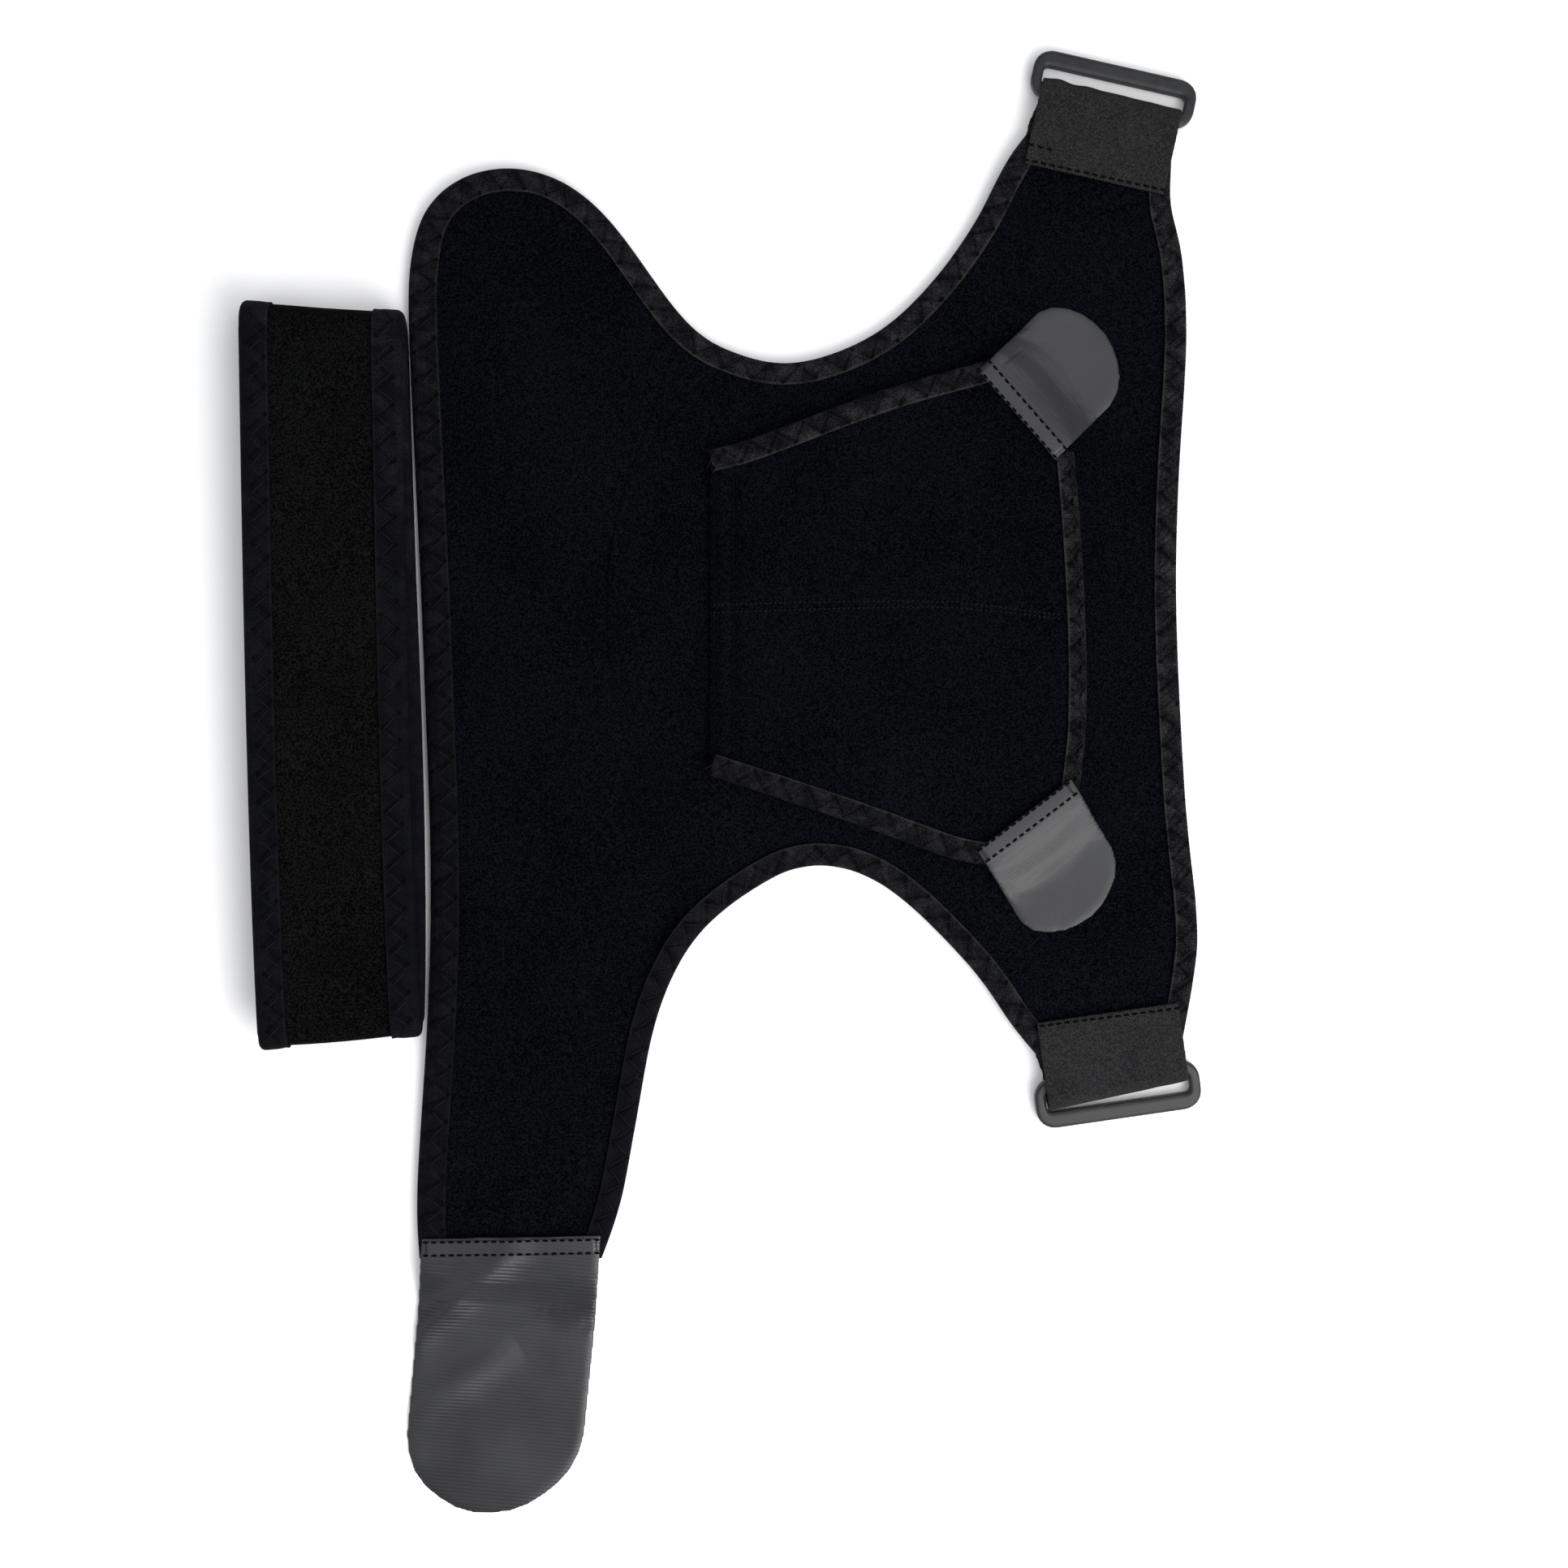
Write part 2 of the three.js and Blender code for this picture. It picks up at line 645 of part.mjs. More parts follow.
function ringBody() {
  const outer = roundedRectangle(slotHalf + ringSideBar, -slotLow, ringHigh, ringCorner);
  const inner = roundedRectangle(slotHalf, slotLow, slotHigh, slotCorner);
  const vertices = outer.flatMap((point, i) =>
    ringSection.map(([across, up]) => {
      const plan = inner[i].clone().lerp(point, across);
      return new THREE.Vector3(plan.x, plan.y, up * ringHeight);
    }),
  );
  const count = ringSection.length;
  const triangles = [];
  for (let i = 0; i < outer.length; i++) {
    const next = (i + 1) % outer.length;
    for (let j = 0; j < count; j++) {
      const after = (j + 1) % count;
      const [a, b] = [i * count + j, i * count + after];
      const [c, d] = [next * count + after, next * count + j];
      triangles.push([a, b, c], [a, c, d]);
    }
  }
  return closedBody(vertices, triangles);
}

// The chest strap, folded in four: stations along its middle line, with the layer's sideways bow
const strapHalf = strapPadding / 2 + edgeInset;
const strapPitch = 2 * strapHalf + gap;
const strapTop = strapFold - strapHalf - 1.5 * strapPitch;
const strapFoot = strapHalf + strapPitch / 2;
const layerHeight = (layer) => strapHalf + layer * strapPitch;

function strapStations() {
  const stations = [];
  const station = (l, index, turn) => {
    stations.push({ l, z: layerHeight(index), turn, bow: strapBows[index] });
  };
  const layer = (index, from, to, count) => {
    for (let i = 1; i < count; i++) {
      station(THREE.MathUtils.lerp(from, to, i / count), index, from < to ? 90 : -90);
    }
  };
  const bend = (l, low, high, fromDegrees, toDegrees, count) => {
    const centre = (layerHeight(low) + layerHeight(high)) / 2;
    const radius = (layerHeight(high) - layerHeight(low)) / 2;
    arc(l, centre, radius, fromDegrees, toDegrees, count).forEach((point, i) => {
      const turn = THREE.MathUtils.lerp(fromDegrees, toDegrees, i / count);
      const outward = toDegrees > fromDegrees ? 180 : 0;
      stations.push({ l: point.x, z: point.y, turn: turn + outward, bow: 0 });
    });
  };
  station(strapTail, 0, 90);
  layer(0, strapTail, strapTop, steps.strapEndLayer);
  bend(strapTop, 0, 3, -90, 90, steps.strapWideFold);
  layer(3, strapTop, strapFoot, steps.strapLayer);
  bend(strapFoot, 2, 3, 90, 270, steps.strapFold);
  layer(2, strapFoot, strapTop, steps.strapLayer);
  bend(strapTop, 1, 2, 90, -90, steps.strapFold);
  layer(1, strapTop, strapTail, steps.strapEndLayer);
  station(strapTail, 1, -90);
  return stations;
}

// The strap lies beside the cuff, along a line between two knots of the cuff's edge
const [guideFoot, guideHead] = [cuffEdge[2], cuffEdge[6]].map(bodyPoint);
const strapHeading = THREE.MathUtils.radToDeg(guideHead.clone().sub(guideFoot).angle());
const guideFrame = planFrame(guideHead, strapHeading);
const strapOrigin = guideFrame.at(-strapWidth / 2 - strapBeside, -strapBelow - strapFold);
const strapFrame = planFrame(strapOrigin, strapHeading);

// Runs from 0 to 1 along the fold and is a half where a bow is deepest
const bowPower = Math.log(0.5) / Math.log(strapBowPlace);
const bowShare = (l) => Math.max(l / strapFold, 0) ** bowPower;

function strapPoint(station, s, n) {
  const angle = THREE.MathUtils.degToRad(station.turn);
  const l = station.l + n * Math.cos(angle);
  const bow = station.bow * strapWidth * Math.sin(Math.PI * bowShare(station.l));
  const skew = THREE.MathUtils.lerp(strapSkew.foot, -strapSkew.head, l / strapFold);
  const plan = strapFrame.at(s + bow, l + (skew * s) / (strapWidth / 2));
  return new THREE.Vector3(plan.x, plan.y, station.z + n * Math.sin(angle));
}

function strapPiece(outline) {
  const sections = strapStations().map((station) =>
    outline.map((corner) => strapPoint(station, corner.x, corner.y)),
  );
  return loft(sections, outline);
}

const rectangle = (left, right, low, high) => [
  new THREE.Vector2(left, low),
  new THREE.Vector2(right, low),
  new THREE.Vector2(right, high),
  new THREE.Vector2(left, high),
];

function strapBand() {
  const half = strapWidth / 2 - edgeInset;
  return strapPiece(rectangle(-half, half, -strapPadding / 2, strapPadding / 2));
}

function strapBinding(side) {
  const section = tapeSection(-strapPadding / 2, strapPadding / 2, strapTapeReach);
  const place = (corner) => new THREE.Vector2(side * (strapWidth / 2 - corner.x), corner.y);
  return strapPiece(section.map(place));
}

// The strap's hook ends, sewn under the padding between the two tapes
function strapHookEnd(layer) {
  const half = strapWidth / 2 - strapTapeReach - gap;
  const end = strapTail + strapHookOverlap;
  const under = layerHeight(layer) - strapPadding / 2 - gap - tape;
  const outline = rectangle(-half, half, 0, tape);
  const sections = strapHookShape.map((row) => {
    const l = THREE.MathUtils.lerp(end, strapHookGap, row.share);
    const station = { l, z: under, turn: 90, bow: strapBows[layer] };
    return outline.map((corner) => strapPoint(station, corner.x * row.width, corner.y));
  });
  return loft(sections, outline);
}

// Materials
const finish = (color, roughness) => () => new THREE.MeshStandardMaterial({ color, roughness });
const knit = finish(0x1b1c21, 0.92);
const tapeFinish = finish(0x2b2c30, 0.85);
const hookFinish = finish(0x55565a, 0.5);
const webbingFinish = finish(0x38393d, 0.8);
const ringFinish = finish(0x46474b, 0.45);

const brace = new THREE.Group();
function add(name, geometry, material, parent = brace) {
  const mesh = new THREE.Mesh(geometry, material());
  mesh.name = name;
  parent.add(mesh);
  return mesh;
}

add('arm_cuff_panel', paddedPanel(cuffPanel()), knit);
add('shoulder_panel', paddedPanel(shoulderPanel()), knit);
add('chest_panel', paddedPanel(chestPanel()), knit);

const bodyTape = tapeSection(paddingUnder, paddingOver, tapeReach);
add('binding_cuff_and_neck', binding(neckPath, bodyTape), tapeFinish);
add('binding_chest_edge', binding(chestPath, bodyTape), tapeFinish);
add('binding_armpit', binding(armpitPath, bodyTape), tapeFinish);

const flapTape = tapeSection(flapUnder, flapOver, tapeReach);
add('flap_panel', sheet(flapPanel(), flapLevel(flapUnder), flapLevel(flapOver)), knit);
add('flap_binding_top', binding(flapTopPath, flapTape), tapeFinish);
add('flap_binding_side', binding(flapSidePath, flapTape), tapeFinish);
add('flap_binding_bottom', binding(flapBottomPath, flapTape), tapeFinish);

flapTabPlaces.forEach((place, i) => {
  const size = {
    width: flapTabWidth,
    length: flapTabLength,
    mirror: place.mirror,
    sideSteps: steps.flapTabSide,
    endSteps: steps.flapTabEnd,
  };
  const from = flapTabOverlap + tape;
  const to = from + tabFall.flap * flapTabLength;
  const levels = { sewn: flapTabUnder, rest: paddingOver + gap, from, to };
  const geometry = hookTab(flapTabFrames[i], flapTabShape, size, levels);
  add(`flap_hook_tab_${place.name}`, geometry, hookFinish);
});

const hemMiddle = neckPath[0].clone().lerp(armpitPath[armpitPath.length - 1], 0.5);
const hemFrame = planFrame(hemMiddle, cuffTabHeading);
const cuffTabFrame = planFrame(hemFrame.at(0, -cuffTabOverlap), cuffTabHeading);
const cuffTabSize = {
  width: cuffTabWidth,
  length: cuffTabLength,
  mirror: 1,
  sideSteps: steps.cuffTabSide,
  endSteps: steps.cuffTabEnd,
};
const cuffTabFrom = cuffTabOverlap + 2 * tape;
const cuffTabTo = cuffTabFrom + tabFall.cuff * cuffTabLength;
const cuffTabLevels = { sewn: sewnUnder, rest: 0, from: cuffTabFrom, to: cuffTabTo };
const cuffTab = hookTab(cuffTabFrame, cuffTabShape, cuffTabSize, cuffTabLevels);
add('cuff_hook_tab', cuffTab, hookFinish);

// A ring leans until its outer bar all but meets the floor
const ringFoot = new THREE.Vector2(slotHigh + barFlat * ringOuterBar, ringHeight / 2);
const ringLean = Math.asin((axisHeight - floorGap) / ringFoot.length()) - ringFoot.angle();
webbingPlaces.forEach((place, i) => {
  const frame = webbingFrames[i];
  add(`webbing_loop_${place.name}`, webbingLoop(place, frame), webbingFinish);
  const axis = frame.at(0, webbingReach[place.name]);
  const seat = new THREE.Group();
  seat.position.set(axis.x, axis.y, axisHeight + drape(axis));
  seat.rotation.z = THREE.MathUtils.degToRad(place.heading - 90);
  brace.add(seat);
  const ring = add(`ring_${place.name}`, ringBody(), ringFinish, seat);
  ring.rotation.x = -ringLean;
});

add('chest_strap_band', strapBand(), knit);
add('chest_strap_binding_left', strapBinding(-1), tapeFinish);
add('chest_strap_binding_right', strapBinding(1), tapeFinish);
add('strap_hook_end_first', strapHookEnd(0), hookFinish);
add('strap_hook_end_last', strapHookEnd(1), hookFinish);

// The origin is on the floor, under the middle of everything
brace.updateMatrixWorld(true);
const box = new THREE.Box3().setFromObject(brace, true);
const middle = box.getCenter(new THREE.Vector3());
brace.position.set(-middle.x, -middle.y, -box.min.z);

export default brace;
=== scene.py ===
import math

import bmesh
import bpy
import numpy as np
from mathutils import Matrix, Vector
from mathutils.bvhtree import BVHTree
from mathutils.kdtree import KDTree


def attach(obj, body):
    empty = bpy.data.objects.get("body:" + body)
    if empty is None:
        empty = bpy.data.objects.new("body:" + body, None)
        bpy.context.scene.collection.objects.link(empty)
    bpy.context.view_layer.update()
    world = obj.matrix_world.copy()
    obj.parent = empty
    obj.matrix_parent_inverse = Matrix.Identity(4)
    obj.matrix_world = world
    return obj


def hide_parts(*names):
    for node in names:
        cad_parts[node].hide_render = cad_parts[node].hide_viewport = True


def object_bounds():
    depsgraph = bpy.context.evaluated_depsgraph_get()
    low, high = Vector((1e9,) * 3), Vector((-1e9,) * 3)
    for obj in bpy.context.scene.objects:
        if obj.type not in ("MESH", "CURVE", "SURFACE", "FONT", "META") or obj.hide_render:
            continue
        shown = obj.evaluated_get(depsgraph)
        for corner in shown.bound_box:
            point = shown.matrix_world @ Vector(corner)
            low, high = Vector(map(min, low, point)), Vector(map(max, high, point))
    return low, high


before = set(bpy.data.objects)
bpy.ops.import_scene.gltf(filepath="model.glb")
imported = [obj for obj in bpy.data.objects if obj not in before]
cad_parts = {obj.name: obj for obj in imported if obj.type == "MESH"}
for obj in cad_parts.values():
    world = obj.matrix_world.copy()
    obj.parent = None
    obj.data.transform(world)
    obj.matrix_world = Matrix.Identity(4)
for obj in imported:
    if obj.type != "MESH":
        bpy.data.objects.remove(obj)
cad_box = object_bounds()
scene = bpy.context.scene

# The table, the light and the camera: the brace lies on a pale table under soft studio light,
# and the camera looks straight down at it from about arm's length.
camera_height = 0.9
camera_place = (0.0213, -0.0004)
frame_width = 0.552  # seen from side to side at frame_level
frame_level = 0.003
room_colour = (0.95, 0.96, 1, 1)
room_strength = 0.45


def link(thing):
    scene.collection.objects.link(thing)
    return thing


camera_data = bpy.data.cameras.new("camera")
camera_data.lens = camera_data.sensor_width * (camera_height - frame_level) / frame_width
camera = link(bpy.data.objects.new("camera", camera_data))
camera.location = (*camera_place, camera_height)
scene.camera = camera
scene.view_settings.view_transform = "Standard"

for name, place, size, power in (
    ("key_light", (0.6, -0.65, 0.85), 0.8, 15),
    ("fill_light", (-1.1, -0.5, 1.2), 1.4, 4),
    ("top_light", (0.6, 0.2, 1.6), 1.8, 17),
):
    lamp = bpy.data.lights.new(name, "AREA")
    lamp.size = size
    lamp.energy = power
    light = link(bpy.data.objects.new(name, lamp))
    light.location = place
    light.rotation_euler = Vector(place).to_track_quat("Z", "Y").to_euler()

world = bpy.data.worlds.new("room")
world.use_nodes = True
room_glow = world.node_tree.nodes["Background"].inputs
room_glow["Color"].default_value = room_colour
room_glow["Strength"].default_value = room_strength
scene.world = world


class Socket:
    """A shader node's output that takes part in sums."""

    def __init__(self, finish, output):
        self.finish = finish
        self.output = output

    def math(self, operation, *others):
        """A Math node on this output and the others."""
        values = dict(enumerate((self, *others)))
        return self.finish.node("Math", {"operation": operation}, values)

    def __add__(self, other):
        return self.math("ADD", other)

    def __sub__(self, other):
        return self.math("SUBTRACT", other)

    def __rsub__(self, other):
        return self * -1 + other

    def __mul__(self, other):
        return self.math("MULTIPLY", other)

    __radd__ = __add__
    __rmul__ = __mul__

    def wave(self, period):
        """A sine wave of this period, from -1 to 1."""
        return (self * (2 * math.pi / period)).math("SINE")

    def between(self, low, high):
        """0 up to low, 1 from high, and smooth in between; low may be the larger."""
        limits = {"Value": self, "From Min": low, "From Max": high}
        return self.finish.node("MapRange", {"interpolation_type": "SMOOTHSTEP"}, limits)


class Finish:
    """A material: its shader's own constants, and the nodes that feed what varies."""

    def __init__(self, name, constants):
        self.material = bpy.data.materials.new(name)
        self.material.use_nodes = True
        self.tree = self.material.node_tree
        self.shader = self.tree.nodes["Principled BSDF"]
        for socket, value in constants.items():
            self.shader.inputs[socket].default_value = value

    def node(self, kind, settings, inputs, out=0):
        made = self.tree.nodes.new("ShaderNode" + kind)
        for name, value in settings.items():
            setattr(made, name, value)
        for name, value in inputs.items():
            self.feed(made.inputs[name], value)
        return Socket(self, made.outputs[out])

    def feed(self, socket, value):
        if isinstance(value, Socket):
            self.tree.links.new(value.output, socket)
        else:
            socket.default_value = value

    def place(self, turn=0.0):
        """The row frame's coordinates, turned about the vertical."""
        point = self.node("TexCoord", {}, {}, out="Object")
        turned = {"Vector": point, "Rotation": (0, 0, turn)}
        return self.node("Mapping", {}, turned)

    def along(self):
        """The piece's own UV map: distance along it and across it, in metres."""
        uv = self.node("UVMap", {"uv_map": "cloth"}, {})
        return self.parts(uv)

    def parts(self, vector):
        """A vector's three numbers."""
        split = self.node("SeparateXYZ", {}, {"Vector": vector})
        return [Socket(self, output) for output in split.output.node.outputs]

    def noise(self, point, size, detail=2.0):
        return self.node("TexNoise", {}, {"Vector": point, "Scale": 1 / size, "Detail": detail})

    def mix(self, share, first, second):
        """The first colour at 0 and the second at 1; a colour is three numbers or a link."""
        first, second = [(*c, 1) if isinstance(c, tuple) else c for c in (first, second)]
        return self.node("Mix", {"data_type": "RGBA"}, {0: share, 6: first, 7: second}, out=2)

    def bump(self, height, depth, strength=1.0):
        inputs = {"Height": height, "Distance": depth, "Strength": strength}
        self.feed(self.shader.inputs["Normal"], self.node("Bump", {}, inputs))

    def paint(self, **sockets):
        """Feeds the shader's sockets, named as base_color or roughness."""
        for name, value in sockets.items():
            self.feed(self.shader.inputs[name.replace("_", " ").title()], value)


floor_half = 20.0
floor_drop = 0.0002
pale_table = Finish("pale_table", {"Base Color": (0.9, 0.9, 0.9, 1), "Roughness": 0.8})
floor_mesh = bpy.data.meshes.new("table_top")
corners = [(x * floor_half, y * floor_half, 0) for x, y in ((-1, -1), (1, -1), (1, 1), (-1, 1))]
floor_mesh.from_pydata(corners, [], [(0, 1, 2, 3)])
floor_mesh.materials.append(pale_table.material)
floor = link(bpy.data.objects.new("table_top", floor_mesh))
floor.location.z = cad_box[0].z - floor_drop


# The padded panels: loop knit laminated over foam, three pieces that meet at flatlocked seams.
# Each is its solid remeshed fine, swollen by a short cloth simulation that its rim holds.
panel_fills = {"arm_cuff_panel": 0.5, "shoulder_panel": 0.5, "chest_panel": 0.5, "flap_panel": 0.6}
knit_voxel = 0.0013
knit_softening = 8
fuzz_size = 0.0007
tuft_size = 0.0020
wear_size = 0.04
rim_hold = 0.012
swell_cap = 0.0009
swell_frames = 12
swell_pressure = 1.6


def loop_knit(name, dark, light):
    """Loop knit: a matt fuzz of short loops, a little lighter where it stands up."""
    finish = Finish(name, {"Roughness": 0.95, "Specular IOR Level": 0.02})
    place = finish.place()
    fuzz = finish.noise(place, fuzz_size, 1.0)
    tufts = finish.noise(place, tuft_size)
    worn = finish.noise(place, wear_size)
    shade = fuzz * 0.8 + tufts * 0.2 + worn * 0.16 + 0.07
    finish.paint(base_color=finish.mix(shade.between(0.5, 0.84), dark, light))
    finish.bump(fuzz * 0.7 + tufts * 0.3, 0.0008)
    return finish


knit = loop_knit("loop_knit", (0.0002, 0.0003, 0.0006), (0.0038, 0.0043, 0.0066))


def merged(node):
    """A node's solid as a bmesh with its corners joined."""
    shape = bmesh.new()
    shape.from_mesh(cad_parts[node].data)
    bmesh.ops.remove_doubles(shape, verts=shape.verts, dist=1e-5)
    return shape


def evaluated(source, name):
    """The object as its modifiers leave it, as a plain mesh object; the source is removed."""
    graph = bpy.context.evaluated_depsgraph_get()
    mesh = bpy.data.meshes.new_from_object(source.evaluated_get(graph))
    data = source.data
    bpy.data.objects.remove(source)
    bpy.data.meshes.remove(data)
    mesh.name = name
    return link(bpy.data.objects.new(name, mesh))


def remeshed(node, name, voxel):
    """A node's solid as a new piece on an even mesh."""
    shape = merged(node)
    mesh = bpy.data.meshes.new(name)
    shape.to_mesh(mesh)
    shape.free()
    source = link(bpy.data.objects.new(name + "_solid", mesh))
    remesh = source.modifiers.new("even", "REMESH")
    remesh.mode = "VOXEL"
    remesh.voxel_size = voxel
    return evaluated(source, name)


def corners_of(piece):
    points = np.empty(len(piece.data.vertices) * 3, np.float32)
    piece.data.vertices.foreach_get("co", points)
    return points.reshape(-1, 3).astype(float)


def normals_of(piece):
    normals = np.empty(len(piece.data.vertices) * 3, np.float32)
    piece.data.vertex_normals.foreach_get("vector", normals)
    return normals.reshape(-1, 3).astype(float)


def move_corners(piece, points):
    piece.data.vertices.foreach_set("co", points.astype(np.float32).ravel())
    piece.data.update()


def softened(piece, rounds):
    """Evens out the piece's heights, so that no facet of its solid shows."""
    shape = bmesh.new()
    shape.from_mesh(piece.data)
    for _ in range(rounds):
        bmesh.ops.smooth_vert(shape, verts=shape.verts, factor=0.5, use_axis_z=True)
    shape.to_mesh(piece.data)
    shape.free()


def from_rim(piece):
    """How far each corner of the mesh is from the piece's cut edge."""
    points = corners_of(piece)
    rim = points[np.abs(normals_of(piece)[:, 2]) < 0.5]
    tree = KDTree(len(rim))
    for i, point in enumerate(rim):
        tree.insert(point, i)
    tree.balance()
    return np.array([tree.find(point)[2] for point in points])


def swell(piece, reach):
    """Puffs a padded piece up by air pressure, held at its rim and capped."""
    held = piece.vertex_groups.new(name="held")
    for i, share in enumerate(np.clip(1 - reach / rim_hold, 0, 1)):
        if share > 0:
            held.add([i], share, "REPLACE")
    rest = corners_of(piece)
    cloth = piece.modifiers.new("air", "CLOTH")
    cloth.settings.quality = 3
    cloth.settings.mass = 0.3
    cloth.settings.vertex_group_mass = held.name
    cloth.settings.use_pressure = True
    cloth.settings.uniform_pressure_force = swell_pressure
    cloth.settings.effector_weights.gravity = 0
    cloth.settings.tension_stiffness = 15
    cloth.settings.bending_stiffness = 0.6
    cloth.collision_settings.use_collision = False
    for step in range(1, swell_frames + 1):
        scene.frame_set(step)
    graph = bpy.context.evaluated_depsgraph_get()
    blown = bpy.data.meshes.new_from_object(piece.evaluated_get(graph))
    points = np.empty(len(blown.vertices) * 3, np.float32)
    blown.vertices.foreach_get("co", points)
    bpy.data.meshes.remove(blown)
    piece.modifiers.remove(cloth)
    piece.vertex_groups.remove(held)
    scene.frame_set(1)
    moved = points.reshape(-1, 3) - rest
    length = np.linalg.norm(moved, axis=1, keepdims=True)
    move_corners(piece, rest + moved * np.minimum(1, swell_cap / np.maximum(length, 1e-9)))


def dressed(piece, finish, slot_name, *nodes, body="brace"):
    """Gives a finished piece its cloth, its body and the nodes that it stands for."""
    piece.data.materials.clear()
    piece.data.materials.append(finish.material)
    piece.data.shade_smooth()
    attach(piece, body)
    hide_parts(*nodes)
    return piece


panels = {}
for node, fill in panel_fills.items():
    panel = remeshed(node, node.replace("panel", "padding"), knit_voxel)
    softened(panel, knit_softening)
    swell(panel, from_rim(panel))
    panels[node] = dressed(panel, knit, "knit", node)


# The thread: every stitch is a small pulled length of thread, laid along its seam's line.
# Zigzag stitches cross each tape from one row of needle holes to the other.
zigzag_period = 0.0098
zigzag_rows = (0.0014, 0.0068)
zigzag_step = zigzag_period / 2
zigzag_width = zigzag_rows[1] - zigzag_rows[0]
zigzag_wander = 0.1
thread_radius = 0.00022
ply_size = 0.0005


def spun(name, roughness, gloss, dark, light):
    """Spun thread, its plies a little darker and lighter."""
    finish = Finish(name, {"Roughness": roughness, "Specular IOR Level": gloss})
    ply = finish.noise(finish.place(), ply_size, 1.0)
    finish.paint(base_color=finish.mix(ply, dark, light))
    return finish


thread = spun("thread", 0.8, 0.12, (0.0018, 0.0018, 0.0024), (0.0070, 0.0070, 0.0085))
black_thread = spun("black_thread", 0.85, 0.04, (0.0004, 0.0004, 0.0005), (0.0022, 0.0022, 0.0026))


def stitch_tree():
    """Geometry Nodes: a stitch at each step of a line, turned to one side and the other."""
    tree = bpy.data.node_groups.new("stitches_along_a_line", "GeometryNodeTree")
    add_socket = tree.interface.new_socket
    add_socket("Geometry", in_out="OUTPUT", socket_type="NodeSocketGeometry")
    add_socket("Geometry", in_out="INPUT", socket_type="NodeSocketGeometry")
    for name in ("Step", "Length", "Radius", "Turn", "Wander"):
        add_socket(name, in_out="INPUT", socket_type="NodeSocketFloat")
    add_socket("Thread", in_out="INPUT", socket_type="NodeSocketMaterial")

    def node(kind, inputs=None, **settings):
        made = tree.nodes.new(kind)
        for name, value in settings.items():
            setattr(made, name, value)
        for name, value in (inputs or {}).items():
            if isinstance(value, bpy.types.NodeSocket):
                tree.links.new(value, made.inputs[name])
            else:
                made.inputs[name].default_value = value
        return made

    given = node("NodeGroupInput").outputs
    curve = node("GeometryNodeMeshToCurve", {"Mesh": given["Geometry"]}).outputs["Curve"]
    even = {"Curve": curve, "Length": given["Step"]}
    points = node("GeometryNodeResampleCurve", even, mode="LENGTH").outputs["Curve"]
    heading = {"Vector": node("GeometryNodeInputTangent").outputs[0]}
    facing = node("FunctionNodeAlignRotationToVector", heading, axis="X", pivot_axis="Z").outputs[0]
    index = node("GeometryNodeInputIndex").outputs[0]
    odd = node("ShaderNodeMath", {0: index, 1: 2.0}, operation="MODULO").outputs[0]
    side = node("ShaderNodeMath", {0: odd, 1: -2.0, 2: 1.0}, operation="MULTIPLY_ADD").outputs[0]
    lean = node("ShaderNodeMath", {0: side, 1: given["Turn"]}, operation="MULTIPLY").outputs[0]
    spread = node("ShaderNodeMath", {0: given["Wander"], 1: -1.0}, operation="MULTIPLY").outputs[0]
    wander = {"Min": spread, "Max": given["Wander"], "Seed": 7}
    drift = node("FunctionNodeRandomValue", wander, data_type="FLOAT")
    random_turn = next(o for o in drift.outputs if o.enabled)
    turn = node("ShaderNodeMath", {0: lean, 1: random_turn}, operation="ADD").outputs[0]
    spin = node("FunctionNodeAxisAngleToRotation", {"Axis": (0, 0, 1), "Angle": turn}).outputs[0]
    rotated = {"Rotation": facing, "Rotate By": spin}
    rotation = node("FunctionNodeRotateRotation", rotated, rotation_space="LOCAL").outputs[0]
    ball = node("GeometryNodeMeshIcoSphere", {"Radius": 1.0, "Subdivisions": 2}).outputs["Mesh"]
    half = node("ShaderNodeMath", {0: given["Length"], 1: 0.5}, operation="MULTIPLY").outputs[0]
    size = node("ShaderNodeCombineXYZ", {0: half, 1: given["Radius"], 2: given["Radius"]}).outputs[0]
    laid = {"Points": points, "Instance": ball, "Rotation": rotation, "Scale": size}
    stitches = node("GeometryNodeInstanceOnPoints", laid).outputs[0]
    real = node("GeometryNodeRealizeInstances", {"Geometry": stitches}).outputs[0]
    threaded = {"Geometry": real, "Material": given["Thread"]}
    done = node("GeometryNodeSetMaterial", threaded).outputs[0]
    tree.links.new(done, node("NodeGroupOutput").inputs["Geometry"])
    return tree


stitches = stitch_tree()


def sewn(name, lines, step, length, radius, turn=0.0, wander=0.06, finish=thread, slot_name="knit"):
    """Stitches along lines of points, as one piece on the brace."""
    starts = np.r_[0, np.cumsum([len(line) for line in lines])]
    edges = [(i, i + 1) for a, b in zip(starts, starts[1:]) for i in range(a, b - 1)]
    mesh = bpy.data.meshes.new(name)
    mesh.from_pydata(np.concatenate(lines).tolist(), edges, [])
    source = link(bpy.data.objects.new(name + "_line", mesh))
    modifier = source.modifiers.new("stitches", "NODES")
    modifier.node_group = stitches
    sizes = {"Step": step, "Length": length, "Radius": radius, "Turn": turn, "Wander": wander}
    for item in stitches.interface.items_tree:
        if item.in_out == "INPUT" and item.name in sizes:
            modifier[item.identifier] = sizes[item.name]
        if item.name == "Thread":
            modifier[item.identifier] = finish.material
    piece = evaluated(source, name)
    piece.data.shade_smooth()
    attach(piece, "brace")
    return piece


def zigzag(name, line):
    """A zigzag of thread whose middle follows a line on a tape."""
    lean = math.atan2(zigzag_width, zigzag_step)
    length = math.hypot(zigzag_width, zigzag_step)
    raised = line + [0, 0, thread_radius * 0.5]
    sizes = (zigzag_step, length, thread_radius, lean, zigzag_wander)
    return sewn(name, [raised], *sizes, slot_name="edge_tape")


